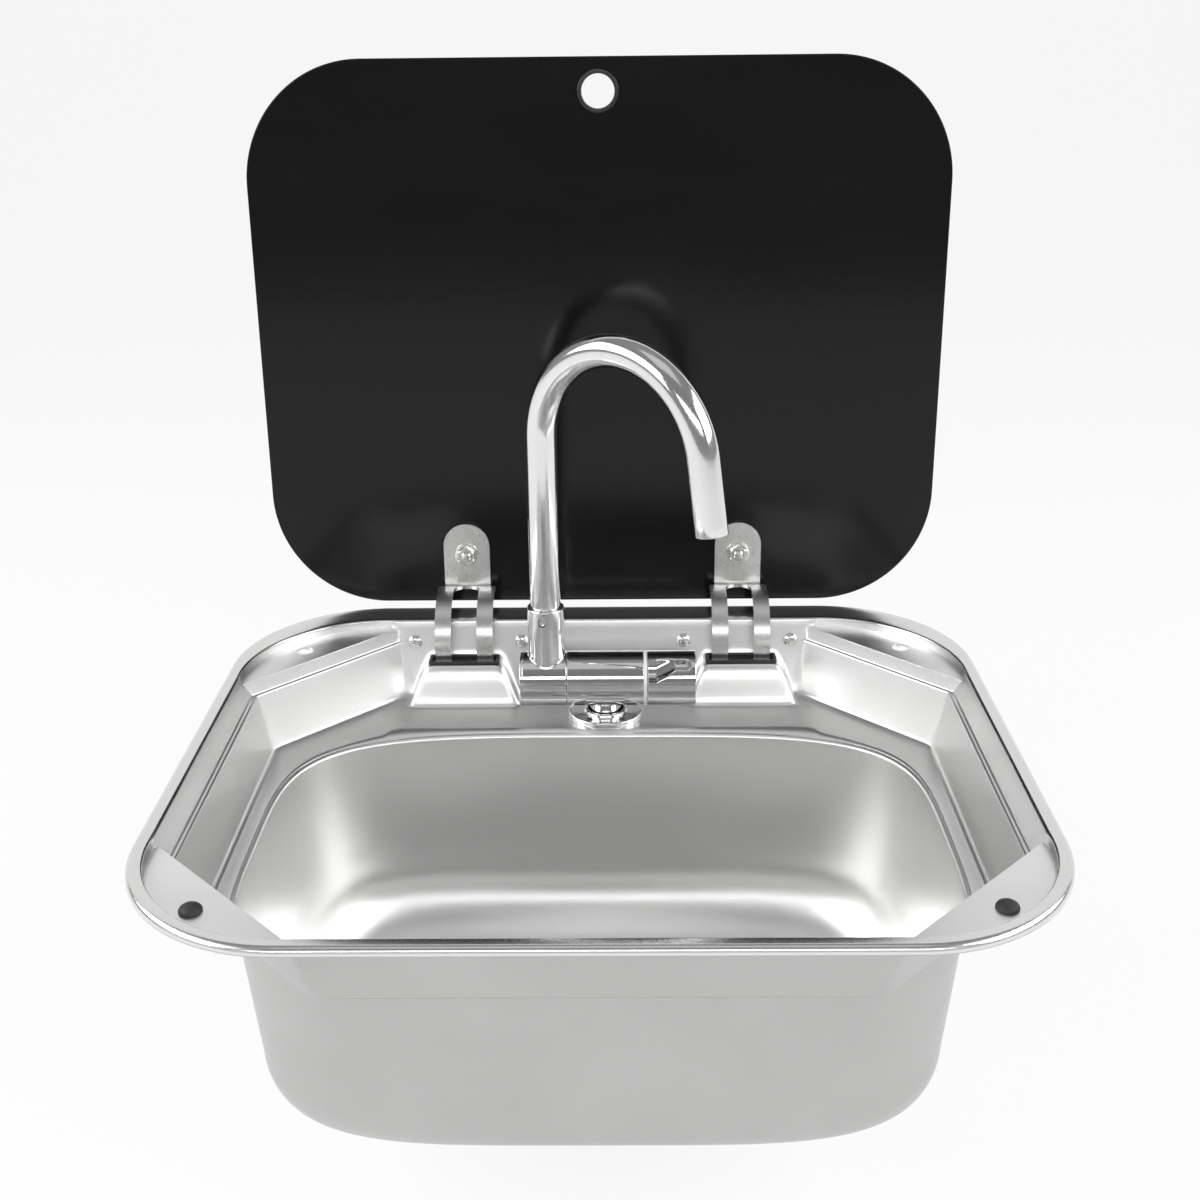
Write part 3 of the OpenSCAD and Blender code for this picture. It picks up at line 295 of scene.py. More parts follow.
def blendColours(tree, factor, first, second):
    node = addNode(tree, "ShaderNodeMix", {}, data_type="RGBA")
    return feed(tree, node, {"Factor": factor, 6: (*first, 1), 7: (*second, 1)}).outputs[2]


def grainNormal(tree, grain, look, share):
    # share is the depth of the grain for its size
    return addNode(tree, "ShaderNodeBump", {
        "Height": grain.outputs["Fac"], "Strength": look["bump"],
        "Distance": look["grain"] * mm * share}).outputs["Normal"]


def metalFinish(name, look):
    material, tree, shader = newFinish(name)
    grain = noiseAt(tree, look["grain"], 4, look.get("stretch", (1, 1, 1)))
    clouds = noiseAt(tree, look["clouds"], 3)
    wipes = noiseAt(tree, look["clouds"] / 4, 4, (6, 1, 1))
    both = calculate(tree, "ADD", grain.outputs["Fac"], clouds.outputs["Fac"])
    shade = mapTo(tree, calculate(tree, "MULTIPLY", both, 0.5), 0, 1)
    rough = calculate(tree, "ADD", mapTo(tree, grain.outputs["Fac"], *look["rough"]),
                      mapTo(tree, wipes.outputs["Fac"], -look["wipe"], look["wipe"]))
    feed(tree, shader, {
        "Base Color": blendColours(tree, shade, look["dark"], look["light"]), "Roughness": rough,
        "Normal": grainNormal(tree, grain, look, 0.5), "Metallic": 1})
    if "brushed" in look:
        # brushed round the vertical axis; across 0.25 turns the drawn-out highlights by a right angle
        tangent = addNode(tree, "ShaderNodeTangent", {}, direction_type="RADIAL", axis="Z")
        feed(tree, shader, {"Tangent": tangent.outputs["Tangent"], "Anisotropic": look["brushed"],
                            "Anisotropic Rotation": look["across"]})
    return material


def plainFinish(name, look):
    # moulded or polished stuff that isn't metal
    material, tree, shader = newFinish(name)
    grain = noiseAt(tree, look["grain"], 3)
    marks = noiseAt(tree, look["marks"], 5, (3, 1, 1), 0.65)
    shade = mapTo(tree, marks.outputs["Fac"], 0, 1)
    feed(tree, shader, {
        "Base Color": blendColours(tree, shade, look["dark"], look["light"]),
        "Roughness": mapTo(tree, marks.outputs["Fac"], *look["rough"]),
        "Normal": grainNormal(tree, grain, look, 0.4), "IOR": look.get("ior", 1.5)})
    return material


satin = {"rough": (0.31, 0.37), "wipe": 0.006, "across": 0, "grain": 0.55, "clouds": 70}
traySteel = metalFinish("satin tray steel", {
    **satin, "light": (0.84, 0.84, 0.835), "dark": (0.79, 0.79, 0.785), "brushed": 0.4, "bump": 0.09})
rimSteel = metalFinish("polished rim steel", {
    "light": (0.78, 0.78, 0.77), "dark": (0.72, 0.72, 0.715), "rough": (0.19, 0.25), "wipe": 0.02,
    "grain": 0.9, "clouds": 45, "bump": 0.03})
bowlSteel = metalFinish("satin bowl steel", {
    **satin, "light": (0.86, 0.86, 0.855), "dark": (0.81, 0.81, 0.805), "brushed": 0.75, "bump": 0.16})
# the sheets' outer faces: the same steel as inside, its colour painted darker as painted shade for the dim
# surroundings under the sink that they reflect
shadedOuterSteel = metalFinish("outer steel painted darker for shade", {
    "light": (0.56, 0.56, 0.555), "dark": (0.50, 0.50, 0.495), "rough": (0.30, 0.37), "wipe": 0.01,
    "brushed": 0.7, "across": 0.25, "grain": 0.5, "stretch": (1, 1, 2.5), "clouds": 60, "bump": 0.06})
armSteel = metalFinish("brushed arm steel", {
    "light": (0.73, 0.73, 0.72), "dark": (0.62, 0.62, 0.615), "rough": (0.25, 0.34), "wipe": 0.012,
    "grain": 0.35, "stretch": (1, 1, 14), "clouds": 25, "bump": 0.14})
screwSteel = metalFinish("bright screw steel", {
    "light": (0.82, 0.82, 0.81), "dark": (0.66, 0.66, 0.65), "rough": (0.14, 0.24), "wipe": 0.02,
    "grain": 0.5, "clouds": 8, "bump": 0.06})
# the same chrome as the spout with its colour painted darker: painted shade for the dark surroundings that
# the barrel, sleeve and knob reflect
shadedTapChrome = metalFinish("tap chrome painted darker for shade", {
    "light": (0.77, 0.77, 0.775), "dark": (0.70, 0.70, 0.705), "rough": (0.05, 0.09), "wipe": 0.012,
    "grain": 2.5, "clouds": 30, "bump": 0.012})
spoutChrome = metalFinish("spout chrome", {
    "light": (0.84, 0.84, 0.845), "dark": (0.76, 0.76, 0.765), "rough": (0.10, 0.16), "wipe": 0.015,
    "grain": 1.2, "clouds": 30, "bump": 0.012})
tapBrass = metalFinish("turned brass", {
    "light": (0.80, 0.62, 0.30), "dark": (0.64, 0.46, 0.20), "rough": (0.20, 0.36), "wipe": 0.03,
    "grain": 0.5, "stretch": (4, 4, 1), "clouds": 14, "bump": 0.10})
lidBlack = plainFinish("black lid glass", {
    "light": (0.005, 0.005, 0.0053), "dark": (0.0032, 0.0032, 0.0034), "rough": (0.11, 0.15),
    "grain": 6, "marks": 55, "bump": 0.01, "ior": 1.34})
blackPlastic = plainFinish("black moulded plastic", {
    "light": (0.022, 0.022, 0.022), "dark": (0.012, 0.012, 0.012), "rough": (0.22, 0.34),
    "grain": 0.7, "marks": 9, "bump": 0.12})
blackRubber = plainFinish("black rubber", {
    "light": (0.030, 0.030, 0.029), "dark": (0.018, 0.018, 0.018), "rough": (0.50, 0.68),
    "grain": 0.5, "marks": 7, "bump": 0.30})
wastePlastic = plainFinish("grey waste plastic", {
    "light": (0.075, 0.077, 0.08), "dark": (0.05, 0.05, 0.052), "rough": (0.35, 0.5),
    "grain": 0.8, "marks": 12, "bump": 0.2})
whitePlastic = plainFinish("white ring plastic", {
    "light": (0.86, 0.86, 0.85), "dark": (0.80, 0.80, 0.79), "rough": (0.22, 0.32),
    "grain": 0.8, "marks": 10, "bump": 0.05})
print("finishes mixed")


# the pressed tray: flange, corner shelves, walls with their step, deck and hinge bosses

tray = {
    "halfWidth": 210, "halfDepth": 175, "rimCorner": 80, "edge": 3, "lip": 4, "sheet": 0.8,
    "flange": 7.5, "backFlange": 21.5, "flangeBend": 1.9, "shelf": 5.8,
    "step": 12.5, "deck": 44, "stepBend": 1.5, "deckBend": 5, "wallBend": 12, "topBend": 3,
    "sideRun": 17.2, "frontRun": 18, "backRun": 13.5, "cornerRun": 14.7,
    "upperRun": 6.2, "stepWidth": 2.6, "stepFall": 0.3, "cornerUp": 3.5, "cornerStep": 1.2,
    "cornerCut": 77.8, "deckEnd": 4.6, "cornerBend": 1.3, "edgeShare": 0.86,
    "polished": 1.6}
bowl = {
    "halfWidth": 176, "halfDepth": 115.5, "middleY": -25, "squareness": 4,
    "mouthBend": 2.4, "floorBend": 46, "wallTop": 2.4, "wallFoot": 8.6, "drop": 122.2, "hole": 26}
shelf = {"drop": 5, "sheet": 0.8, "holeX": 174, "holeY": 121, "hole": 4.5, "gap": 0.1, "edge": 0.2,
         "bumperX": 172, "bumperY": -141}
boss = {"x": 83, "slotY": 140.8, "top": -21, "halfTop": 23.5, "halfFoot": 33, "toe": 16.5, "brow": 8,
        "edge": 9, "foot": 5, "slotHalfWidth": 20.6, "slotHalfDepth": 5.4, "reachX": 42, "reachY": 112,
        "acrossEnd": 110}

recessHalfWidth = tray["halfWidth"] - tray["flange"]
recessFront = tray["flange"] - tray["halfDepth"]
recessBack = tray["halfDepth"] - tray["backFlange"]
recessMiddle = (recessFront + recessBack) / 2
recessHalfDepth = (recessBack - recessFront) / 2
recessCorner = tray["rimCorner"] - tray["flange"]
cornerReach = (recessHalfWidth + recessHalfDepth - tray["cornerCut"]) / math.sqrt(2)
wallNames = ["side", "corner", "back", "corner", "side", "corner", "front", "corner"]


def wallLine(corners, deckRun):
    # one wall in section below the shelf: distance in from the rim, and height
    line = roundPath(corners + [(deckRun, -tray["deck"], tray["deckBend"]),
                                (deckRun + tray["deckEnd"], -tray["deck"])], steps=5)
    wall = [between(line[12], line[13], k / 24) for k in range(1, 24)]
    return line[:13] + wall + line[13:]


def stepLine(up, stepWidth, deckRun):
    step, bend = tray["step"], tray["stepBend"]
    corners = [(up * tray["shelf"] / step, -tray["shelf"]), (up, -step, bend),
               (up + stepWidth, -step - tray["stepFall"], bend)]
    return wallLine(corners, deckRun)


def backLine():
    # the back wall is plain and only has its points at the step's height
    slope = tray["backRun"] / tray["deck"]
    corners = [(slope * z, -z, 0) for z in (tray["shelf"], tray["step"], tray["step"] + 0.4)]
    return wallLine(corners, tray["backRun"])


def flangeLine(run, depth, bend):
    # from the flange round its inner edge, down to the shelf's height
    return roundPath([(-4, 0), (0, 0, bend), (run, -depth)], steps=6)


def trayColumns():
    # the columns of the tray's mesh, counter-clockwise from the right wall's rear end
    # on the back wall they lie close together at the bosses' flanks and at the ends of the slots
    slot = boss["slotHalfWidth"] - 0.05
    across = [*range(0, 44, 4), *range(44, 66), *[66 + 2.5 * k for k in range(14)],
              *range(101, boss["acrossEnd"] + 1), boss["x"] - slot, boss["x"] + slot]
    across = sorted(set(across), reverse=True)
    across = across + [-x for x in reversed(across) if x > 0]
    columns = []
    for k in range(8):
        columns += [("bend", k, t / 8) for t in range(8)]
        if k == 1:
            columns += [("backEnd", 1, t / 3) for t in range(3)]
            columns += [("across", x, 0) for x in across]
            columns += [("backEnd", -1, 1 - t / 3) for t in range(1, 3)]
        else:
            count = {3: 40, 5: 60, 7: 40}.get(k, 26)
            columns += [("straight", k, t / count) for t in range(count)]
    return columns


def wallPoint(column, row):
    kind, k, t = column
    r = row["bend"]
    hw = recessHalfWidth - row["side"][0] - r
    b = recessHalfDepth - row["back"][0] - r
    f = recessHalfDepth - row["front"][0] - r
    s = (cornerReach - row["corner"][0] - r) * math.sqrt(2)
    if kind == "across":
        return (k, b + r + recessMiddle, row["back"][1])
    if kind == "backEnd":
        return (k * mix(s - b, boss["acrossEnd"], t), b + r + recessMiddle, row["back"][1])
    middles = [(hw, s - hw), (s - b, b), (b - s, b), (-hw, s - hw),
               (-hw, hw - s), (f - s, -f), (s - f, -f), (hw, hw - s)]
    if kind == "bend":
        x, y = middles[k]
        z = mix(row[wallNames[k]][1], row[wallNames[(k + 1) % 8]][1], ease(t))
        return (x + r * cosd(45 * (k + t)), y + r * sind(45 * (k + t)) + recessMiddle, z)
    after = (k + 1) % 8
    x, y = between(middles[k], middles[after], t)
    return (x + r * cosd(45 * (k + 1)), y + r * sind(45 * (k + 1)) + recessMiddle, row[wallNames[after]][1])


def roundedAt(column, middles, radius, z, wallAt):
    # a point of an outline whose corners are arcs round the middles; wallAt gives the points between them
    kind, k, t = column
    halfX, frontY, backY = middles

    def arcAt(quarter, angle):
        x = halfX if quarter in (0, 3) else -halfX
        y = backY if quarter in (0, 1) else frontY
        return (x + radius * cosd(angle), y + radius * sind(angle), z)

    if kind == "straight" and k % 2 == 0:
        return arcAt(k // 2, 45 * k + 90 * t)
    if kind != "bend":
        return wallAt(column)
    wall = wallAt(("bend", k, k % 2))
    arc = arcAt(k // 2, 90 * ((k + 1) // 2))
    return between(wall, arc, t) if k % 2 == 0 else between(arc, wall, t)


def openingPoint(column, row):
    # the rim's opening: rounded corners above the shelves, walls between them
    inset, z = row["arc"]
    middles = (recessHalfWidth - recessCorner, recessFront + recessCorner, recessBack - recessCorner)
    return roundedAt(column, middles, recessCorner - inset, z, lambda at: wallPoint(at, row))


def rimPoint(column, inset, z, opening):
    # the rim's outer outline, drawn in by inset, with its points opposite the opening's
    halfX, halfY, corner = tray["halfWidth"], tray["halfDepth"], tray["rimCorner"]

    def wallAt(at):
        kind, k, t = at
        x, y, depth = wallPoint(at, opening)
        if kind in ("across", "backEnd"):
            return (x, halfY - inset, z)
        angle = 45 * (k + (t if kind == "bend" else 1))
        if angle % 180:
            return (x, (halfY - inset) * sind(angle), z)
        return ((halfX - inset) * cosd(angle), y, z)

    return roundedAt(column, (halfX - corner, corner - halfY, halfY - corner), corner - inset, z, wallAt)


def mouthPoint(angle, draw=0.0, squareness=None):
    n = squareness or bowl["squareness"]
    c, s = cosd(angle), sind(angle)
    return (math.copysign(abs(c) ** (2 / n), c) * (bowl["halfWidth"] - draw),
            math.copysign(abs(s) ** (2 / n), s) * (bowl["halfDepth"] - draw) + bowl["middleY"])


def mouthAngle(angle, point):
    # where the bowl's mouth lies straight in from a point on the wall that faces this angle
    n = bowl["squareness"] / 2
    x = point[0] / bowl["halfWidth"]
    y = (point[1] - bowl["middleY"]) / bowl["halfDepth"]
    if angle % 180 == 0:
        a = math.degrees(math.asin(math.copysign(min(abs(y), 1) ** n, y)))
        return a if angle % 360 == 0 else 180 - a
    a = math.degrees(math.acos(math.copysign(min(abs(x), 1) ** n, x)))
    return a if angle == 90 else 360 - a


def mouthAngles(columns, last):
    angles = []
    for kind, k, t in columns:
        if kind in ("across", "backEnd"):
            angles.append(mouthAngle(90, wallPoint((kind, k, t), last)))
        elif kind == "straight" and k % 2:
            angles.append(mouthAngle((45 * (k + 1)) % 360, wallPoint((kind, k, t), last)))
        else:
            first = k - k % 2 if kind == "bend" else k
            start = mouthAngle((45 * first) % 360, wallPoint(("bend", first, 0), last))
            end = mouthAngle((45 * (first + 2)) % 360, wallPoint(("bend", first + 1, 1), last))
            if first == 6:
                end += 360
            share = 0.2 + 0.6 * t if kind == "straight" else (0.2 * t if k % 2 == 0 else 0.8 + 0.2 * t)
            angles.append(mix(start, end, share))
    return angles


def bossTop(x, y):
    height = tray["deck"] + boss["top"]
    front = (y - boss["slotY"] + boss["toe"]) * height / (boss["toe"] - boss["brow"])
    flank = (boss["halfFoot"] - abs(abs(x) - boss["x"])) * height / (boss["halfFoot"] - boss["halfTop"])
    return softMin(softMin(front, flank, boss["edge"]), height, boss["edge"]) - tray["deck"]


def onBoss(point):
    x, y, z = point
    if y > boss["reachY"] and abs(abs(x) - boss["x"]) < boss["reachX"] and -tray["deck"] - 0.01 < z < 0:
        return (x, y, softMax(z, bossTop(x, y), boss["foot"]))
    return point


def topSections():
    # the flange's rounded inner edge: distance in from the rim and height, on each wall
    share, bend = tray["edgeShare"], tray["flangeBend"]
    up = tray["shelf"] / tray["step"]
    side = flangeLine(tray["upperRun"] * up * share, tray["shelf"] * share, bend)
    back = flangeLine(tray["backRun"] * shelf["drop"] / tray["deck"], shelf["drop"], bend)
    arc = flangeLine(0.4, tray["shelf"] - 0.1, tray["cornerBend"])
    return [{"side": side[j], "front": side[j], "back": back[j], "arc": arc[j],
             "corner": (max(0, tray["cornerUp"] * -side[j][1] / tray["step"]), side[j][1]),
             "bend": tray["topBend"]} for j in range(len(side))]


def lowSections():
    # the walls below the shelf; the bends between them widen towards the deck
    side = stepLine(tray["upperRun"], tray["stepWidth"], tray["sideRun"])
    front = stepLine(tray["upperRun"], tray["stepWidth"], tray["frontRun"])
    corner = stepLine(tray["cornerUp"], tray["cornerStep"], tray["cornerRun"])
    back = backLine()
    sections = []
    for j, (run, z) in enumerate(corner):
        deep = ease((-z - tray["step"]) / (tray["deck"] - tray["step"]))
        bend = mix(tray["topBend"], tray["wallBend"], deep) - max(0, run - tray["cornerRun"])
        sections.append({"side": side[j], "front": front[j], "back": back[j], "corner": (run, z),
                         "bend": bend})
    return sections


def deckRow(foot, mouth, step):
    # step is the row's distance from the walls, and 0 stands for the bowl's mouth
    row = []
    for p, q in zip(foot, mouth):
        wide = math.dist(p[:2], q[:2])
        row.append(between(p, q, step * min(1, wide / 45) / wide if step else 1.0))
    return row


def isCutOut(x, y, z):
    # the slots in the bosses, and the openings under the holes of the rear plates
    beside, behind = abs(abs(x) - boss["x"]), abs(y - boss["slotY"])
    if beside < boss["slotHalfWidth"] - 0.1 and behind < boss["slotHalfDepth"] - 0.1 and z > -32:
        return True
    fromHole = math.hypot(abs(x) - shelf["holeX"], y - shelf["holeY"])
    return abs(z + tray["shelf"]) < 0.3 and fromHole < shelf["hole"] + 2


def makeSheet(name, shape, slot, node, inside, outside):
    # a pressed sheet that lies outside its mesh, its outer faces in the outside material (the same steel
    # painted darker, as painted shade)
    piece = makePiece(name, shape, outward=False)
    thicken(piece, tray["sheet"])
    place(piece, inside[0], "root", slot, node)
    for finish in (*inside[1:], outside):
        piece.data.materials.append(finish)
    piece.modifiers["sheet"].material_offset = len(inside)
    return piece


def makeTray():
    columns, tops, lows = trayColumns(), topSections(), lowSections()
    edge = tray["edge"]
    edges = [(0, -tray["lip"])] + [(edge - edge * cosd(a), edge * sind(a) - edge) for a in range(0, 91, 15)]
    rows = [[rimPoint(c, inset, z, tops[0]) for c in columns] for inset, z in edges]
    flange, opening = rows[-1], [openingPoint(c, tops[0]) for c in columns]
    rows += [betweenRows(flange, opening, k) for k in (0.33, 0.67)]
    rows += [[openingPoint(c, row) for c in columns] for row in tops]
    foot, brink = rows[-1], [wallPoint(c, lows[0]) for c in columns]
    rows += [betweenRows(foot, brink, k) for k in spread(0.04, 0.94, 12)]
    rows += [[wallPoint(c, row) for c in columns] for row in lows]
    foot = rows[-1]
    mouth = [mouthPoint(a) + (-tray["deck"],) for a in mouthAngles(columns, lows[-1])]
    rows += [deckRow(foot, mouth, step) for step in [*range(1, 16), 19, 24, 30, 37, 0]]

    points, faces = gridShape([[onBoss(p) for p in row] for row in rows])
    kept = []
    for face in faces:
        if not isCutOut(*[sum(points[i][axis] for i in face) / 4 for axis in range(3)]):
            kept.append(face)
    piece = makeSheet("pressedTray", (points, kept), "tray_steel", "rim_tray",
                      (traySteel, rimSteel), shadedOuterSteel)
    for face in piece.data.polygons:
        if face.center.z > -tray["polished"] * mm:
            face.material_index = 1


makeTray()
print("tray pressed")


# the deep bowl under the deck

def evenAngles(count):
    # angles that put the bowl's columns at equal distances round its mouth
    steps = 2880
    along = distances([mouthPoint(360 * k / steps) for k in range(steps + 1)])
    angles, k = [], 0
    for i in range(count):
        wanted = along[-1] * i / count
        while along[k + 1] < wanted:
            k += 1
        angles.append(360 * (k + (wanted - along[k]) / (along[k + 1] - along[k])) / steps)
    return angles


def makeBowl():
    angles = evenAngles(176)
    n, bend, floorBend, foot = bowl["squareness"], bowl["mouthBend"], bowl["floorBend"], bowl["wallFoot"]
    floor = -tray["deck"] - bowl["drop"]
    wallTop, wallFoot = -tray["deck"] - bend, floor + floorBend
    levels = [(bend * cosd(a), wallTop + bend * sind(a), n) for a in range(90, -1, -15)]
    for k in spread(0, 1, 12)[1:-1]:
        levels.append((mix(bowl["wallTop"], foot, k), mix(wallTop, wallFoot, k), n + 0.3 * k))
    for a in range(0, 91, 5):
        levels.append((foot + floorBend * (1 - cosd(a)), wallFoot - floorBend * sind(a),
                       n + 0.3 + 0.3 * a / 90))
    rows = [[mouthPoint(a, draw, square) + (z,) for a in angles] for draw, z, square in levels]
    rim = rows[-1]
    turns = [math.atan2(y - bowl["middleY"], x) for x, y, z in rim]
    for share, r in ((0.35, 40), (0.7, 40), (1, 40), (1, 33), (1, bowl["hole"])):
        ring = [(r * math.cos(turn), r * math.sin(turn) + bowl["middleY"], floor) for turn in turns]
        rows.append(betweenRows(rim, ring, share))
    makeSheet("deepBowl", gridShape(rows), "bowl_steel", "bowl", (bowlSteel,), shadedOuterSteel)


makeBowl()
print("bowl drawn")


# flat plates with holes, cut from an outline

def drawnIn(outline, inset):
    # moves each side of a convex outline, given counter-clockwise, inwards
    points = []
    for i, here in enumerate(outline):
        before, after = Vector(outline[i - 1]), Vector(outline[(i + 1) % len(outline)])
        here = Vector(here)
        first, second = (here - before).normalized(), (after - here).normalized()
        inFirst, inSecond = Vector((-first.y, first.x)), Vector((-second.y, second.x))
        middle = (inFirst + inSecond).normalized()
        points.append(tuple(here + middle * inset / max(middle.dot(inFirst), 0.3)))
    return points


def cutPlate(outline, holes, thickness, edge):
    # a plate from z = 0 up, its edges rounded by edge; holes are (x, y, radius)
    curve = bpy.data.curves.new("cutPlate", "CURVE")
    curve.dimensions = "2D"
    curve.fill_mode = "BOTH"
    curve.extrude = (thickness / 2 - edge) * mm
    curve.bevel_depth = edge * mm
    curve.bevel_resolution = 2
    loops = [drawnIn(outline, edge)]
    for x, y, r in holes:
        loops.append([(x + (r + edge) * cosd(a), y + (r + edge) * sind(a)) for a in range(0, 360, 6)])
    for loop in loops:
        spline = curve.splines.new("POLY")
        spline.points.add(len(loop) - 1)
        spline.points.foreach_set("co", [c for x, y in loop for c in (x * mm, y * mm, 0, 1)])
        spline.use_cyclic_u = True
    holder = addObject("cutPlate", curve)
    mesh = finalMesh(holder)
    points = [(v.co.x / mm, v.co.y / mm, v.co.z / mm + thickness / 2) for v in mesh.vertices]
    faces = [tuple(p.vertices) for p in mesh.polygons]
    bpy.data.objects.remove(holder)
    bpy.data.curves.remove(curve)
    bpy.data.meshes.remove(mesh)
    return points, faces


def flatNormals(piece):
    normals = piece.modifiers.new("normals", "WEIGHTED_NORMAL")
    normals.keep_sharp = False
    normals.weight = 100


def makeShelves():
    hw, hl = recessHalfWidth - shelf["gap"], recessHalfDepth - shelf["gap"]
    r = recessCorner - shelf["gap"]
    reach = (cornerReach - tray["cornerUp"] * shelf["drop"] / tray["step"]) * math.sqrt(2)
    arc = [(hw - r + r * cosd(a), hl - r + r * sind(a), 0) for a in range(0, 91, 3)]
    corner = [(hw, reach - hw, 0.8)] + arc + [(reach - hl, hl, 0.8)]
    for sx, sy, row, side in ((-1, -1, "front", "left"), (1, -1, "front", "right"),
                              (-1, 1, "rear", "left"), (1, 1, "rear", "right")):
        outline = [(sx * p[0], sy * p[1] + recessMiddle, p[2]) for p in corner]
        if sx * sy < 0:
            outline.reverse()
        outline = list(dict.fromkeys(roundPath(outline, steps=3, closed=True)))
        holes = [(sx * shelf["holeX"], shelf["holeY"], shelf["hole"])] if sy > 0 else []
        plate = cutPlate(outline, holes, shelf["sheet"], shelf["edge"])
        plate = moved(plate, z=-shelf["drop"] - shelf["sheet"])
        piece = addPiece(row + side.title() + "Plate", plate, traySteel, "root", "tray_steel",
                         "plate_" + row + "_" + side)
        flatNormals(piece)
    dome = [(0, 3.5), (1.6, 3.37), (3.2, 2.8), (4.5, 1.85), (5.15, 0.75), (5.1, 0.0, 0.2), (2.6, 0.0, 0),
            (2.6, -2.0, 0), (3.4, -2.3, 0.2), (2.2, -4.4, 0.3), (0, -4.6)]
    button = lathed(dome, 0.6, 3, 48, closed=False)
    pair = [moved(button, s * shelf["bumperX"], shelf["bumperY"], -shelf["drop"]) for s in (-1, 1)]
    addPiece("lidBumpers", addShapes(*pair), blackRubber, "root", "black_rubber", "lid_bumpers")


def makeSlotLiners():
    liner = {"wall": 1.5, "lip": 0.9, "proud": 1.5, "depth": 4.0, "corner": 1.4}
    hw, hd = boss["slotHalfWidth"] - 0.1, boss["slotHalfDepth"] - 0.1
    wall, lip, proud, depth = liner["wall"], liner["lip"], liner["proud"], liner["depth"]
    section = roundPath([(-wall, -depth, 0.3), (-wall, proud, 0.7), (lip, proud, 0.7), (lip, 0.05, 0.1),
                         (0, 0.05, 0), (0, -depth, 0.3)], steps=4, closed=True)
    rows = []
    for out, z in section:
        radius = max(liner["corner"] + out, 0.35)
        rows.append([(x, y, z) for x, y in roundedBox(hw + out, hd + out, radius, 6)])
    shape = gridShape(rows, looped=True)
    for s, name in ((-1, "left"), (1, "right")):
        addPiece(name + "SlotLiner", moved(shape, s * boss["x"], boss["slotY"], boss["top"]),
                 blackPlastic, "root", "black_plastic", "slot_liner_" + name)


makeShelves()
makeSlotLiners()
print("shelves and liners fitted")


# the glass lid and everything that swings with it; built closed, then swung open

lid = {"halfWidth": 200, "front": -166.5, "back": 150.5, "z": -1.4, "glass": 5, "corner": 68, "edge": 0.7,
       "pivotY": 167, "pivotZ": -14.5, "swing": 93.9, "fingerY": -148.3, "fingerHole": 10.6,
       "boltX": 83, "boltY": 119.5, "boltHole": 4, "soft": 1}
arm = {"thick": 2, "neck": 27, "neckEnd": 306, "width": 34.6, "leg": 9.6, "tab": 28, "tabLength": 50,
       "bend": 2.5, "shoulder": 3, "edge": 0.35, "eye": 3.6, "pin": 2.05}


def swung(shape):
    points, faces = shape
    c, s = cosd(-lid["swing"]), sind(-lid["swing"])
    opened = []
    for x, y, z in points:
        dy, dz = y - lid["pivotY"], z - lid["pivotZ"]
        opened.append((x, lid["pivotY"] + dy * c - dz * s, lid["pivotZ"] + dy * s + dz * c))
    return opened, faces


def makeGlass():
    hw, hl, r = lid["halfWidth"], (lid["back"] - lid["front"]) / 2, lid["corner"]
    middle = (lid["back"] + lid["front"]) / 2
    outline = [(x, y + middle) for x, y in roundedBox(hw, hl, r, 40)]
    holes = [(0, lid["fingerY"], lid["fingerHole"])]
    holes += [(s * lid["boltX"], lid["boltY"], lid["boltHole"]) for s in (-1, 1)]
    glass = swung(moved(cutPlate(outline, holes, lid["glass"], lid["edge"]), z=lid["z"]))
    flatNormals(addPiece("lidGlass", glass, lidBlack, "lid", "lid_glass", "glass_lid"))

    inner, neck, outer, collar, top = 9.25, 10.5, 11.6, 1.2, lid["glass"]
    ring = lathed([(inner, -collar), (outer, -collar), (outer, 0, 0), (neck, 0, 0), (neck, top, 0),
                   (outer, top, 0), (outer, top + collar), (inner, top + collar)], 0.45, 4, 96)
    addPiece("fingerRing", swung(moved(ring, y=lid["fingerY"], z=lid["z"])),
             blackPlastic, "lid", "black_plastic", "finger_ring")


def armLine():
    # the middle line of the bent strip, from the tab's end to the pin, in y and z from the pin
    tabZ = lid["z"] - lid["soft"] - lid["pivotZ"] - arm["thick"] / 2
    tabEnd = lid["back"] - arm["tabLength"] - lid["pivotY"]
    line = roundPath([(tabEnd, tabZ), (-arm["neck"], tabZ, arm["bend"]), (-arm["neck"], 0)], steps=10)
    line += [(arm["neck"] * cosd(a), arm["neck"] * sind(a)) for a in range(183, arm["neckEnd"] - 5, 3)]
    neck, last, eye = arm["neck"], arm["neckEnd"], 3.2
    line += roundPath([(neck * cosd(last - 6), neck * sind(last - 6)),
                       (neck * cosd(last), neck * sind(last), 2.2),
                       (eye * cosd(last), eye * sind(last))], steps=6)
    return line


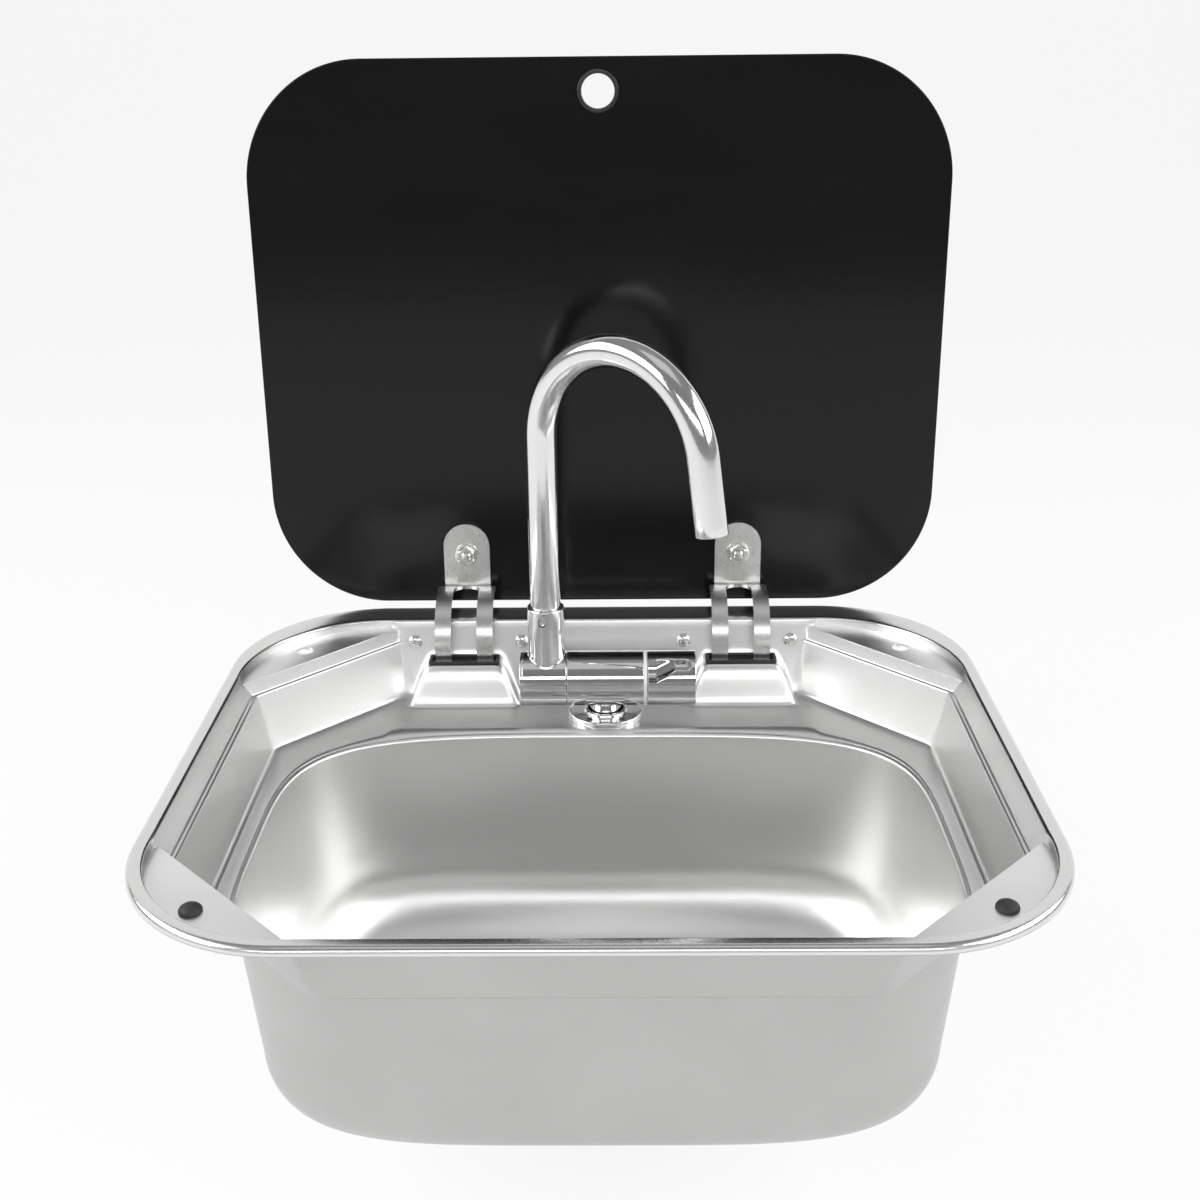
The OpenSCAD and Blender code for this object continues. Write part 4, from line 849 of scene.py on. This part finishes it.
def makeArm(name, x0):
    line = armLine()
    along = distances(line)
    tab, full = arm["tab"] / 2, arm["width"] / 2
    legIn = full - arm["leg"]
    strapStart = along[1] + math.radians(90) * arm["bend"]
    archMiddle = along[12]

    def at(s):
        k = max(i for i in range(len(along)) if along[i] <= s + 1e-9)
        k = min(k, len(along) - 2)
        return between(line[k], line[k + 1], (s - along[k]) / (along[k + 1] - along[k]))

    def halfWidths(s):
        outer = math.sqrt(max(tab ** 2 - (tab - s) ** 2, 0)) if s < tab else mix(
            tab, full, ease((s - strapStart) / arm["shoulder"]))
        inner = 0.0
        if s > archMiddle - legIn:
            inner = math.sqrt(max(legIn ** 2 - max(archMiddle - s, 0) ** 2, 0))
        return inner, outer

    steps = [tab * (1 - cosd(a)) for a in range(0, 91, 6)]
    steps += spread(tab, along[1], 9)[1:] + along[2:12] + spread(along[11], archMiddle - legIn, 3)[1:]
    steps += [archMiddle - legIn * cosd(a) for a in range(4, 91, 6)] + along[12:]
    steps = sorted(set(round(s, 4) for s in steps))
    halves = []
    for side in (-1, 1):
        rows = []
        for s in steps:
            y, z = at(min(s, along[-1]))
            inner, outer = halfWidths(s)
            rows.append([(x0 + side * mix(inner, outer, q / 8), lid["pivotY"] + y, lid["pivotZ"] + z)
                         for q in range(9)])
        points, faces = gridShape(rows, closed=False)
        halves.append((points, faces if side > 0 else [tuple(reversed(f)) for f in faces]))
    piece = makePiece(name + "HingeArm", swung(addShapes(*halves)), sharp=50, outward=False)
    thicken(piece, arm["thick"], 0)
    softEdges(piece, arm["edge"], 2, 50)
    place(piece, armSteel, "lid", "arm_steel", "hinge_arm_" + name)

    half = arm["leg"] / 2
    eye = lathed(ringSection(arm["pin"], arm["eye"], -half, half), 0.3, 3, 40, "x")
    eyes = [moved(eye, x0 + side * (legIn + half), lid["pivotY"], lid["pivotZ"]) for side in (-1, 1)]
    addPiece(name + "ArmEyes", swung(addShapes(*eyes)), armSteel, "lid", "arm_steel")


def nutShape(acrossFlats, height, bore):
    # a hexagon nut from z = 0 down, its outer end rounded off
    flat = acrossFlats / 2
    rows = []
    for a in range(0, 360, 5):
        hexagon = flat / cosd((a + 30) % 60 - 30)
        section = [(bore, 0), (hexagon, 0), (hexagon, -height + 0.9),
                   (min(hexagon, flat + 0.35), -height + 0.35), (min(hexagon, flat - 0.1), -height),
                   (bore + 0.4, -height), (bore, -height + 0.4)]
        rows.append([(r * cosd(a), r * sind(a), z) for r, z in section])
    return gridShape(rows, looped=True)


def threaded(radius, start, end, pitch):
    # a thread's section, as radius and height
    line, count = [], max(1, round(abs(end - start) / pitch))
    for k in range(count):
        z0, z1 = mix(start, end, k / count), mix(start, end, (k + 1) / count)
        line += [(radius, z0, 0), (radius, mix(z0, z1, 0.3), 0)]
        line.append((radius - pitch * 0.5, mix(z0, z1, 0.65), 0))
    return line + [(radius, end, 0)]


def atBolts(shape, z):
    return swung(addShapes(*[moved(shape, s * lid["boltX"], lid["boltY"], lid["z"] + z) for s in (-1, 1)]))


def makeLidBolts():
    fixing = {"bolt": 3, "pitch": 1, "head": 8, "headHeight": 3, "brow": 1.9, "washer": 7.2,
              "washerThick": 1.2, "flats": 10, "nut": 4.6, "bore": 3.05, "stub": 1.4}
    bolt, head, bore, thick = fixing["bolt"], fixing["head"], fixing["bore"], fixing["washerThick"]
    under, top = lid["soft"] + arm["thick"] + thick, lid["glass"] + lid["soft"]
    end = under + fixing["nut"] + fixing["stub"]
    line = [(0, -end), (bolt - 0.6, -end, 0.1), (bolt, -end + 0.6, 0.1)]
    line += threaded(bolt, -end + 0.7, -under, fixing["pitch"])
    line += [(bolt, top, 0), (head, top, 0.3), (head, top + fixing["brow"], 0.9),
             (head - 1.5, top + fixing["headHeight"], 0.6), (0, top + fixing["headHeight"])]
    addPiece("lidBolts", atBolts(lathed(line, 0.2, 3, 64, closed=False), 0),
             screwSteel, "lid", "bright_steel", "lid_bolts", sharp=30)
    washer = lathed(ringSection(bore, fixing["washer"], 0, thick), 0.3, 3, 64)
    addPiece("nutWashers", atBolts(washer, -under), screwSteel, "lid", "bright_steel", "nut_washers")
    addPiece("boltNuts", atBolts(nutShape(fixing["flats"], fixing["nut"], bore), -under),
             screwSteel, "lid", "bright_steel", "bolt_nuts", sharp=25)


makeGlass()
makeArm("left", -boss["x"])
makeArm("right", boss["x"])
makeLidBolts()
print("lid hung")


# pan-head screws in the back wall

def makeBracketScrews():
    screw = {"head": 4.25, "height": 2.6, "shank": 2, "length": 8.0, "slot": 0.5, "slotLength": 2.3,
             "deep": 1.3, "slotTurn": 20, "pitch": 0.7, "under": 0.1, "below": 12.5, "outer": 30.5,
             "inner": 34}
    tilt = math.degrees(math.atan(tray["backRun"] / tray["deck"]))
    wallY = recessBack - screw["below"] * tray["backRun"] / tray["deck"]
    dome = screw["head"] * 1.6
    slotX, slotY = cosd(screw["slotTurn"]), sind(screw["slotTurn"])

    def headHeight(x, y):
        r = math.hypot(x, y)
        top = screw["height"] - dome + math.sqrt(dome ** 2 - r ** 2)
        top = softMin(top, mix(0.1, 2.4, min(1, (screw["head"] - r) / 0.55)), 0.5)
        u, v = abs(x * slotX + y * slotY), abs(y * slotX - x * slotY)
        inSlot = 0.0
        for a, b in ((u, v), (v, u)):
            width = ease((screw["slot"] + 0.12 - a) / 0.24)
            inSlot = max(inSlot, width * ease((screw["slotLength"] - b) / 0.5))
        return top - inSlot * screw["deep"]

    rows = [[(x, y, headHeight(x, y)) for x, y, z in circle(r, 0, 4)] for r in spread(0, screw["head"], 30)]
    rows += [circle(screw["head"], screw["under"], 4), circle(screw["shank"], screw["under"], 4)]
    shank, end = screw["shank"], -screw["length"]
    rows += [circle(r, z, 4) for r, z, bend in threaded(shank, -2.0, end, screw["pitch"])]
    rows.append(circle(0, end, 4))
    points, faces = gridShape(rows)
    c, s = cosd(90 - tilt), sind(90 - tilt)
    tilted = ([(x, wallY + y * c - z * s, -screw["below"] + y * s + z * c) for x, y, z in points], faces)
    places = (-boss["x"] - screw["outer"], screw["inner"] - boss["x"],
              boss["x"] - screw["inner"], boss["x"] + screw["outer"])
    addPiece("bracketScrews", addShapes(*[moved(tilted, x) for x in places]),
             screwSteel, "root", "bright_steel", "bracket_screws", sharp=45)


makeBracketScrews()
print("screws driven")


# the tap

tap = {"x": 1.9, "y": 113, "z": -19.8, "barrel": 15.9, "edge": 0.35, "fixed0": -20.3, "fixed1": 24.1,
       "sleeve0": -45.9, "sleeve1": -20.6, "cap": 1.6, "ring": 1.8, "knob0": 26.2, "knob1": 54.2,
       "spoutX": -32.0, "collar": 10.6, "collarTop": 26.0, "tube": 8.7, "tubeWall": 0.9, "bendZ": 126.3,
       "bend": 55.1, "bendAngle": 171, "outlet": 39.5, "azimuth": 39.6, "deck": -44, "shank": 31,
       "stem": 9.5, "way": 4}
grub = {"height": 19.5, "turn": -10, "radius": 2.2, "hole": 2.45, "face": -0.35, "deep": 2.2}


def onBarrel(shape):
    return moved(shape, 0, tap["y"], tap["z"])


def makeTapBody():
    x0, x1, full, stem = tap["fixed0"], tap["fixed1"], tap["barrel"], tap["stem"]
    barrel = lathed([(8.55, x0), (full, x0), (full, x1), (8.5, x1)], tap["edge"], 4, 128, "x")
    end, high = tap["deck"] - tap["shank"], tap["z"] - 9
    line = [(tap["way"], end), (stem - 0.8, end, 0.2), (stem, end + 0.8, 0.2)]
    line += threaded(stem, end + 1.2, tap["deck"] - 2, 1.5) + [(stem, high, 0), (tap["way"], high, 0)]
    shank = moved(lathed(line, 0.2, 2, 96), tap["x"], tap["y"])
    addPiece("tapBody", addShapes(onBarrel(barrel), shank),
             shadedTapChrome, "root", "tap_chrome", "tap_body", sharp=30)

    x2, full = x1 + tap["ring"], tap["barrel"] + 0.1
    ring = lathed(ringSection(tap["way"], full, x1, x2), 0.25, 3, 128, "x")
    addPiece("whiteRing", onBarrel(ring), whitePlastic, "root", "white_plastic", "white_ring")

    bore, foot, rim, well, top = stem + 1.1, 19.8, 21.8, 12.4, 5.1
    flange = lathed([
        (bore, 0.8, 0), (foot, 0.8, 0), (foot, 0, 0), (rim, 0, 0.25), (rim, 2.35, 0.15),
        (rim - 0.45, 2.55, 0.1), (rim, 2.75, 0.15), (rim, top, 0.5), (rim - 1.2, top, 0.5),
        (foot, top - 0.6, 0.3), (well, top - 1.3, 0.3), (well, top + 0.3, 0.4), (well - 1, top + 0.7, 0.4),
        (bore, top + 0.7, 0.3)], 0.5, 4, 128)
    addPiece("tapFlange", moved(flange, tap["x"], tap["y"], tap["deck"]),
             spoutChrome, "root", "tap_chrome", "tap_flange", sharp=50)


def facingGrub(section, flats=0):
    # a turned shape that looks out of the collar's front, a little to the left; flats is how many of
    # the section's first points go round a hexagon
    rows = []
    for a in range(0, 360, 5):
        hexagon = 1 / cosd((a + 30) % 60 - 30)
        row = []
        for k, (r, out) in enumerate(section):
            share = hexagon if k < flats else 1
            row.append((r * cosd(a) * share, tap["collar"] + out, r * sind(a) * share))
        rows.append(row)
    points, faces = gridShape(rows, closed=False, looped=True)
    c, s = cosd(grub["turn"]), sind(grub["turn"])
    points = [(x * c + out * s, x * s - out * c, up) for x, out, up in points]
    return moved((points, faces), tap["spoutX"], tap["y"], grub["height"])


def makeGrubScrew():
    r, face = grub["radius"], grub["face"]
    section = [(0, -1.6), (1.05, -1.4), (1.05, -0.5), (1.2, face),
               (r - 0.3, face), (r, face - 0.3), (r, -2.1), (0, -2.1)]
    addPiece("grubScrew", facingGrub(section, flats=4),
             screwSteel, "spout_arm", "bright_steel", "grub_screw", sharp=30)


def makeFoldingSleeve():
    x0, x1, full = tap["sleeve0"], tap["sleeve1"], tap["barrel"]
    sleeve = lathed(ringSection(8.6, full, x0, x1), tap["edge"], 4, 128, "x")
    addPiece("foldSleeve", onBarrel(sleeve), shadedTapChrome, "spout_arm", "tap_chrome", "fold_sleeve")
    end, plug = x0 - tap["cap"], x0 + 2.5
    cap = lathed([(0, end), (full, end, 0.6), (full, x0, 0.25), (8, x0, 0), (8, plug, 0), (0, plug)],
                 0.5, 4, 128, "x", closed=False)
    addPiece("sleeveCap", onBarrel(cap), shadedTapChrome, "spout_arm", "tap_chrome", "sleeve_cap")

    # the collar's foot follows the sleeve, with a small fillet round it
    top, r = tap["collarTop"], tap["collar"]
    wall = roundPath([(8.9, 6), (8.9, top, 0.35), (r, top, 0.7), (r, 4)], steps=5)
    rows = [circle(radius, z, 3) for radius, z in wall]
    for out, lift in ((0, 3), (0, 0.7), (0.12, 0.3), (0.35, 0.08), (0.8, 0), (0.8, -0.6), (-1.5, -1)):
        rows.append([(x, y, tap["z"] + math.sqrt(full ** 2 - y * y) + lift)
                     for x, y, z in circle(r + out, 0, 3)])
    piece = makePiece("spoutCollar", moved(gridShape(rows, looped=True), tap["spoutX"], tap["y"]), sharp=45)
    hole, deep = grub["hole"], grub["deep"]
    drill(piece, makePiece("grubHole", facingGrub([(0, -deep), (hole, -deep), (hole, 1), (0, 1)])), 45)
    place(piece, spoutChrome, "spout_arm", "tap_chrome", "spout_collar")


def spoutFrames():
    # points and directions along the spout's middle line, in the spout's own plane
    z0, z1, r, turn = tap["collarTop"] - 1.5, tap["bendZ"], tap["bend"], tap["bendAngle"]
    frames = [((0, z), (0, 1)) for z in spread(z0, z1, 14)]
    for k in range(1, 61):
        a = 180 - turn * k / 60
        frames.append(((r + r * cosd(a), z1 + r * sind(a)), (sind(a), -cosd(a))))
    (x, z), (dx, dz) = frames[-1]
    frames += [((x + dx * s, z + dz * s), (dx, dz)) for s in spread(0, tap["outlet"], 8)[1:]]
    return frames


def spoutRing(middle, ahead, radius, shift=0.0, count=64):
    u, w = cosd(-tap["azimuth"]), sind(-tap["azimuth"])
    x, z = middle[0] + ahead[0] * shift, middle[1] + ahead[1] * shift
    ring = []
    for k in range(count):
        c, s = math.cos(2 * math.pi * k / count), math.sin(2 * math.pi * k / count)
        px, pz = x + radius * c * ahead[1], z - radius * c * ahead[0]
        ring.append((tap["spoutX"] + px * u - radius * s * w, tap["y"] + px * w + radius * s * u, pz))
    return ring


def makeSpout():
    # each ring is the number of its frame, its radius and how far it is shifted along the tube
    frames = spoutFrames()
    outer, inner = tap["tube"], tap["tube"] - tap["tubeWall"]
    last = len(frames) - 1
    rings = [(9, inner, 0), (0, inner, 0), (0, outer - 0.25, 0), (0, outer - 0.07, 0.08), (0, outer, 0.3)]
    rings += [(k, outer, 0) for k in range(1, last)]
    rings += [(last, outer, -0.5), (last, outer - 0.1, -0.15), (last, outer - 0.3, 0),
              (last, inner + 0.15, 0), (last, inner, -0.2), (last - 5, inner, 0), (last - 11, inner, 0)]
    rows = [spoutRing(*frames[k], radius, shift) for k, radius, shift in rings]
    piece = makePiece("spoutTube", gridShape(rows), sharp=50, outward=False)
    place(piece, spoutChrome, "spout", "tap_chrome", "spout_tube")

    outer, bore, deep = inner - 0.05, 5.0, -9.4
    section = roundPath([(outer, deep, 0), (outer, -0.6, 0.4), (bore + 0.2, -0.6, 0.5), (bore, -2.2, 0.2),
                         (bore, deep, 0)], steps=3, closed=True)
    rows = [spoutRing(*frames[last], radius, shift) for radius, shift in section]
    addPiece("outletInsert", gridShape(rows, looped=True),
             screwSteel, "spout", "bright_steel", "outlet_insert")


def makeKnob():
    scoop = {"radius": 9, "near": 20.6, "nearAngle": 41, "far": 23.9, "farAngle": 53, "start": 5,
             "bend": 16, "stop": 3, "fade": 3, "narrowed": 20, "clear": 3, "soft": 0.9}
    x0, x1, full = tap["knob0"], tap["knob1"], tap["barrel"]
    near = (-scoop["near"] * cosd(scoop["nearAngle"]), scoop["near"] * sind(scoop["nearAngle"]))
    far = (-scoop["far"] * cosd(scoop["farAngle"]), scoop["far"] * sind(scoop["farAngle"]))

    def surface(x, a):
        t = min(max((x - x0 - scoop["start"]) / (scoop["bend"] - scoop["start"]), 0), 1)
        middle = between(near, far, t)
        radius = scoop["radius"]
        over = x - (x1 - scoop["stop"] - scoop["fade"])
        if over > 0:
            radius = math.sqrt(max(radius ** 2 - (over / scoop["fade"]) ** 2 * scoop["narrowed"], 0))
        forward = middle[0] * cosd(a) + middle[1] * sind(a)
        depth = radius ** 2 - (middle[0] ** 2 + middle[1] ** 2 - forward ** 2)
        cut = full + scoop["clear"] + min(-depth / 8, scoop["clear"])
        if depth > 0 and forward > 0:
            cut = forward - math.sqrt(depth)
        return softMin(full, cut, scoop["soft"])

    def around(x, radius=None, inset=0.0):
        # a ring of the knob at x, on its surface unless it has a radius
        ring = []
        for a in range(0, 360, 2):
            r = surface(x, a) - inset if radius is None else radius
            ring.append((x, r * cosd(a), r * sind(a)))
        return ring

    middle, well, bore = 0.001, x1 - 0.25, 5.6
    rows = [around(x0, middle), around(x0, 3.2)]
    rows += [around(x0 + dx, inset=inset) for inset, dx in ((0.35, 0), (0.1, 0.1), (0, 0.35))]
    rows += [around(x) for x in spread(x0 + 1, x1 - 0.6, 70)]
    rows += [around(x, r) for r, x in (
        (full, x1 - 0.5), (full - 0.12, x1 - 0.18), (full - 0.45, x1), (full - 1.6, x1), (full - 1.9, well),
        (bore + 0.6, well), (bore + 0.1, x1 - 0.5), (bore, x1 - 2.6), (middle, x1 - 2.6))]
    addPiece("knob", onBarrel(gridShape(rows)), shadedTapChrome, "knob", "tap_chrome", "knob", sharp=50)
    r = bore - 0.15
    cap = lathed([(0, x1 - 2.4), (r, x1 - 2.4, 0), (r, x1 - 0.7, 0.5), (3, x1 - 0.35, 2), (0, x1 - 0.3)],
                 0.5, 4, 64, "x", closed=False)
    addPiece("knobCap", onBarrel(cap), shadedTapChrome, "knob", "tap_chrome", "knob_cap")


makeTapBody()
makeFoldingSleeve()
makeGrubScrew()
makeSpout()
makeKnob()
print("tap assembled")


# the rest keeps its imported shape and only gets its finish

def paintParts(material, *nodes):
    for node in nodes:
        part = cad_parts[node]
        part.data.materials.clear()
        part.data.materials.append(material)


paintParts(blackRubber, "rim_seal", "outer_washers", "glass_washers", "base_gasket", "fold_rings",
           "tail_rings", "upper_seal", "lower_seal")
paintParts(armSteel, "bracket_left", "bracket_right", "hinge_pins", "pin_clips", "clamp_washer")
paintParts(screwSteel, "waste_bridge", "bracket_nuts", "knob_screw", "strainer", "waste_screw")
paintParts(tapBrass, "clamp_nut", "inlet_tail", "fold_spindle", "spout_tail", "valve_spindle")
paintParts(whitePlastic, "valve_cartridge")
paintParts(wastePlastic, "waste_body")
print("small parts painted")


# floor, light and camera

# in metres, apart from the white of the floor and the share of it that glows
floorLook = {"height": -0.2125, "size": 14, "curveStart": 2.2, "curveRadius": 2.5, "wall": 4,
             "white": 0.94, "glow": 0.88}
# brightness of the air round the sink, by the sine of the height above the horizon
airStops = [(-1.0, 0.3), (-0.1, 0.3), (0.0, 0.3), (0.25, 0.22), (0.5, 0.2), (0.8, 0.25), (1.0, 0.3)]
# place, size in metres and brightness of each softbox; all face the sink
softboxes = {
    "topSoftbox": ((0.0, -0.3, 1.9), (1.2, 1.0), 0.35),
    "frontSoftbox": ((0.0, -2.2, 1.15), (2.6, 0.45), 4.2),
    "leftSoftbox": ((-1.4, -0.3, 0.9), (1.6, 0.9), 4.9),
    "rightSoftbox": ((1.4, -0.3, 0.9), (1.6, 0.9), 4.2)}


def makeFloor():
    start, radius, half = floorLook["curveStart"], floorLook["curveRadius"], floorLook["size"] / 2
    line = [(-half, 0)] + [(y, 0) for y in spread(-2, start, 6)]
    line += [(start + radius * sind(a), radius - radius * cosd(a)) for a in range(10, 91, 10)]
    line.append((start + radius, radius + floorLook["wall"]))
    rows = [[(x / mm, y / mm, (z + floorLook["height"]) / mm) for x in (-half, half)] for y, z in line]
    piece = makePiece("studioFloor", gridShape(rows, closed=False), outward=False)
    material, tree, shader = newFinish("studio white")
    white = (floorLook["white"],) * 3 + (1,)
    feed(tree, shader, {"Base Color": white, "Roughness": 0.9, "Specular IOR Level": 0.1})
    glow = addNode(tree, "ShaderNodeEmission", {"Color": (1, 1, 1, 1), "Strength": 1.0})
    path = addNode(tree, "ShaderNodeLightPath", {})
    seen = calculate(tree, "MAXIMUM", path.outputs["Is Camera Ray"], path.outputs["Is Glossy Ray"])
    seen = calculate(tree, "MAXIMUM", seen, path.outputs["Is Transmission Ray"])
    share = calculate(tree, "MULTIPLY", seen, floorLook["glow"])
    mixed = addNode(tree, "ShaderNodeMixShader", {0: share, 1: shader.outputs[0], 2: glow.outputs[0]})
    feed(tree, tree.nodes["Material Output"], {"Surface": mixed.outputs[0]})
    piece.data.materials.append(material)


def makeAir():
    world = bpy.data.worlds.new("studio air")
    bpy.context.scene.world = world
    world.use_nodes = True
    tree = world.node_tree
    background = tree.nodes["Background"]
    coords = addNode(tree, "ShaderNodeTexCoord", {})
    parts = addNode(tree, "ShaderNodeSeparateXYZ", {"Vector": coords.outputs["Generated"]})
    ramp = addNode(tree, "ShaderNodeValToRGB", {"Fac": mapTo(tree, parts.outputs["Z"], 0, 1, -1, 1)})
    stops = ramp.color_ramp.elements
    while len(stops) < len(airStops):
        stops.new(0.5)
    for stop, (height, value) in zip(stops, airStops):
        stop.position = (height + 1) / 2
        stop.color = (value, value, value, 1)
    tree.links.new(ramp.outputs["Color"], background.inputs["Color"])


def addSoftbox(name, spot, size, brightness):
    lamp = bpy.data.lights.new(name, "AREA")
    lamp.shape = "RECTANGLE"
    lamp.size, lamp.size_y = size
    lamp.energy = brightness * math.pi * size[0] * size[1]
    holder = addObject(name, lamp)
    holder.location = spot
    holder.rotation_euler = (-Vector(spot)).to_track_quat("-Z", "Y").to_euler()


def setCamera():
    view = {"lens": 44.114, "place": (0.0088556, -0.6611422, 0.3546903),
            "pitch": 22.779, "yaw": -0.7132, "roll": -0.6308}
    camera = bpy.data.cameras.new("camera")
    camera.lens = view["lens"]
    camera.sensor_width = 36
    holder = addObject("camera", camera)
    yaw, pitch, roll = view["yaw"], view["pitch"], view["roll"]
    ahead = Vector((sind(yaw) * cosd(pitch), cosd(yaw) * cosd(pitch), -sind(pitch)))
    right = Vector((cosd(yaw), -sind(yaw), 0))
    up = right.cross(ahead)
    right, up = right * cosd(roll) + up * sind(roll), up * cosd(roll) - right * sind(roll)
    turn = Matrix((right, up, -ahead)).transposed().to_4x4()
    holder.matrix_world = Matrix.Translation(view["place"]) @ turn
    bpy.context.scene.camera = holder


makeFloor()
makeAir()
for name, (spot, size, brightness) in softboxes.items():
    addSoftbox(name, spot, size, brightness)
setCamera()
bpy.context.scene.view_settings.view_transform = "Standard"
print("studio lit")
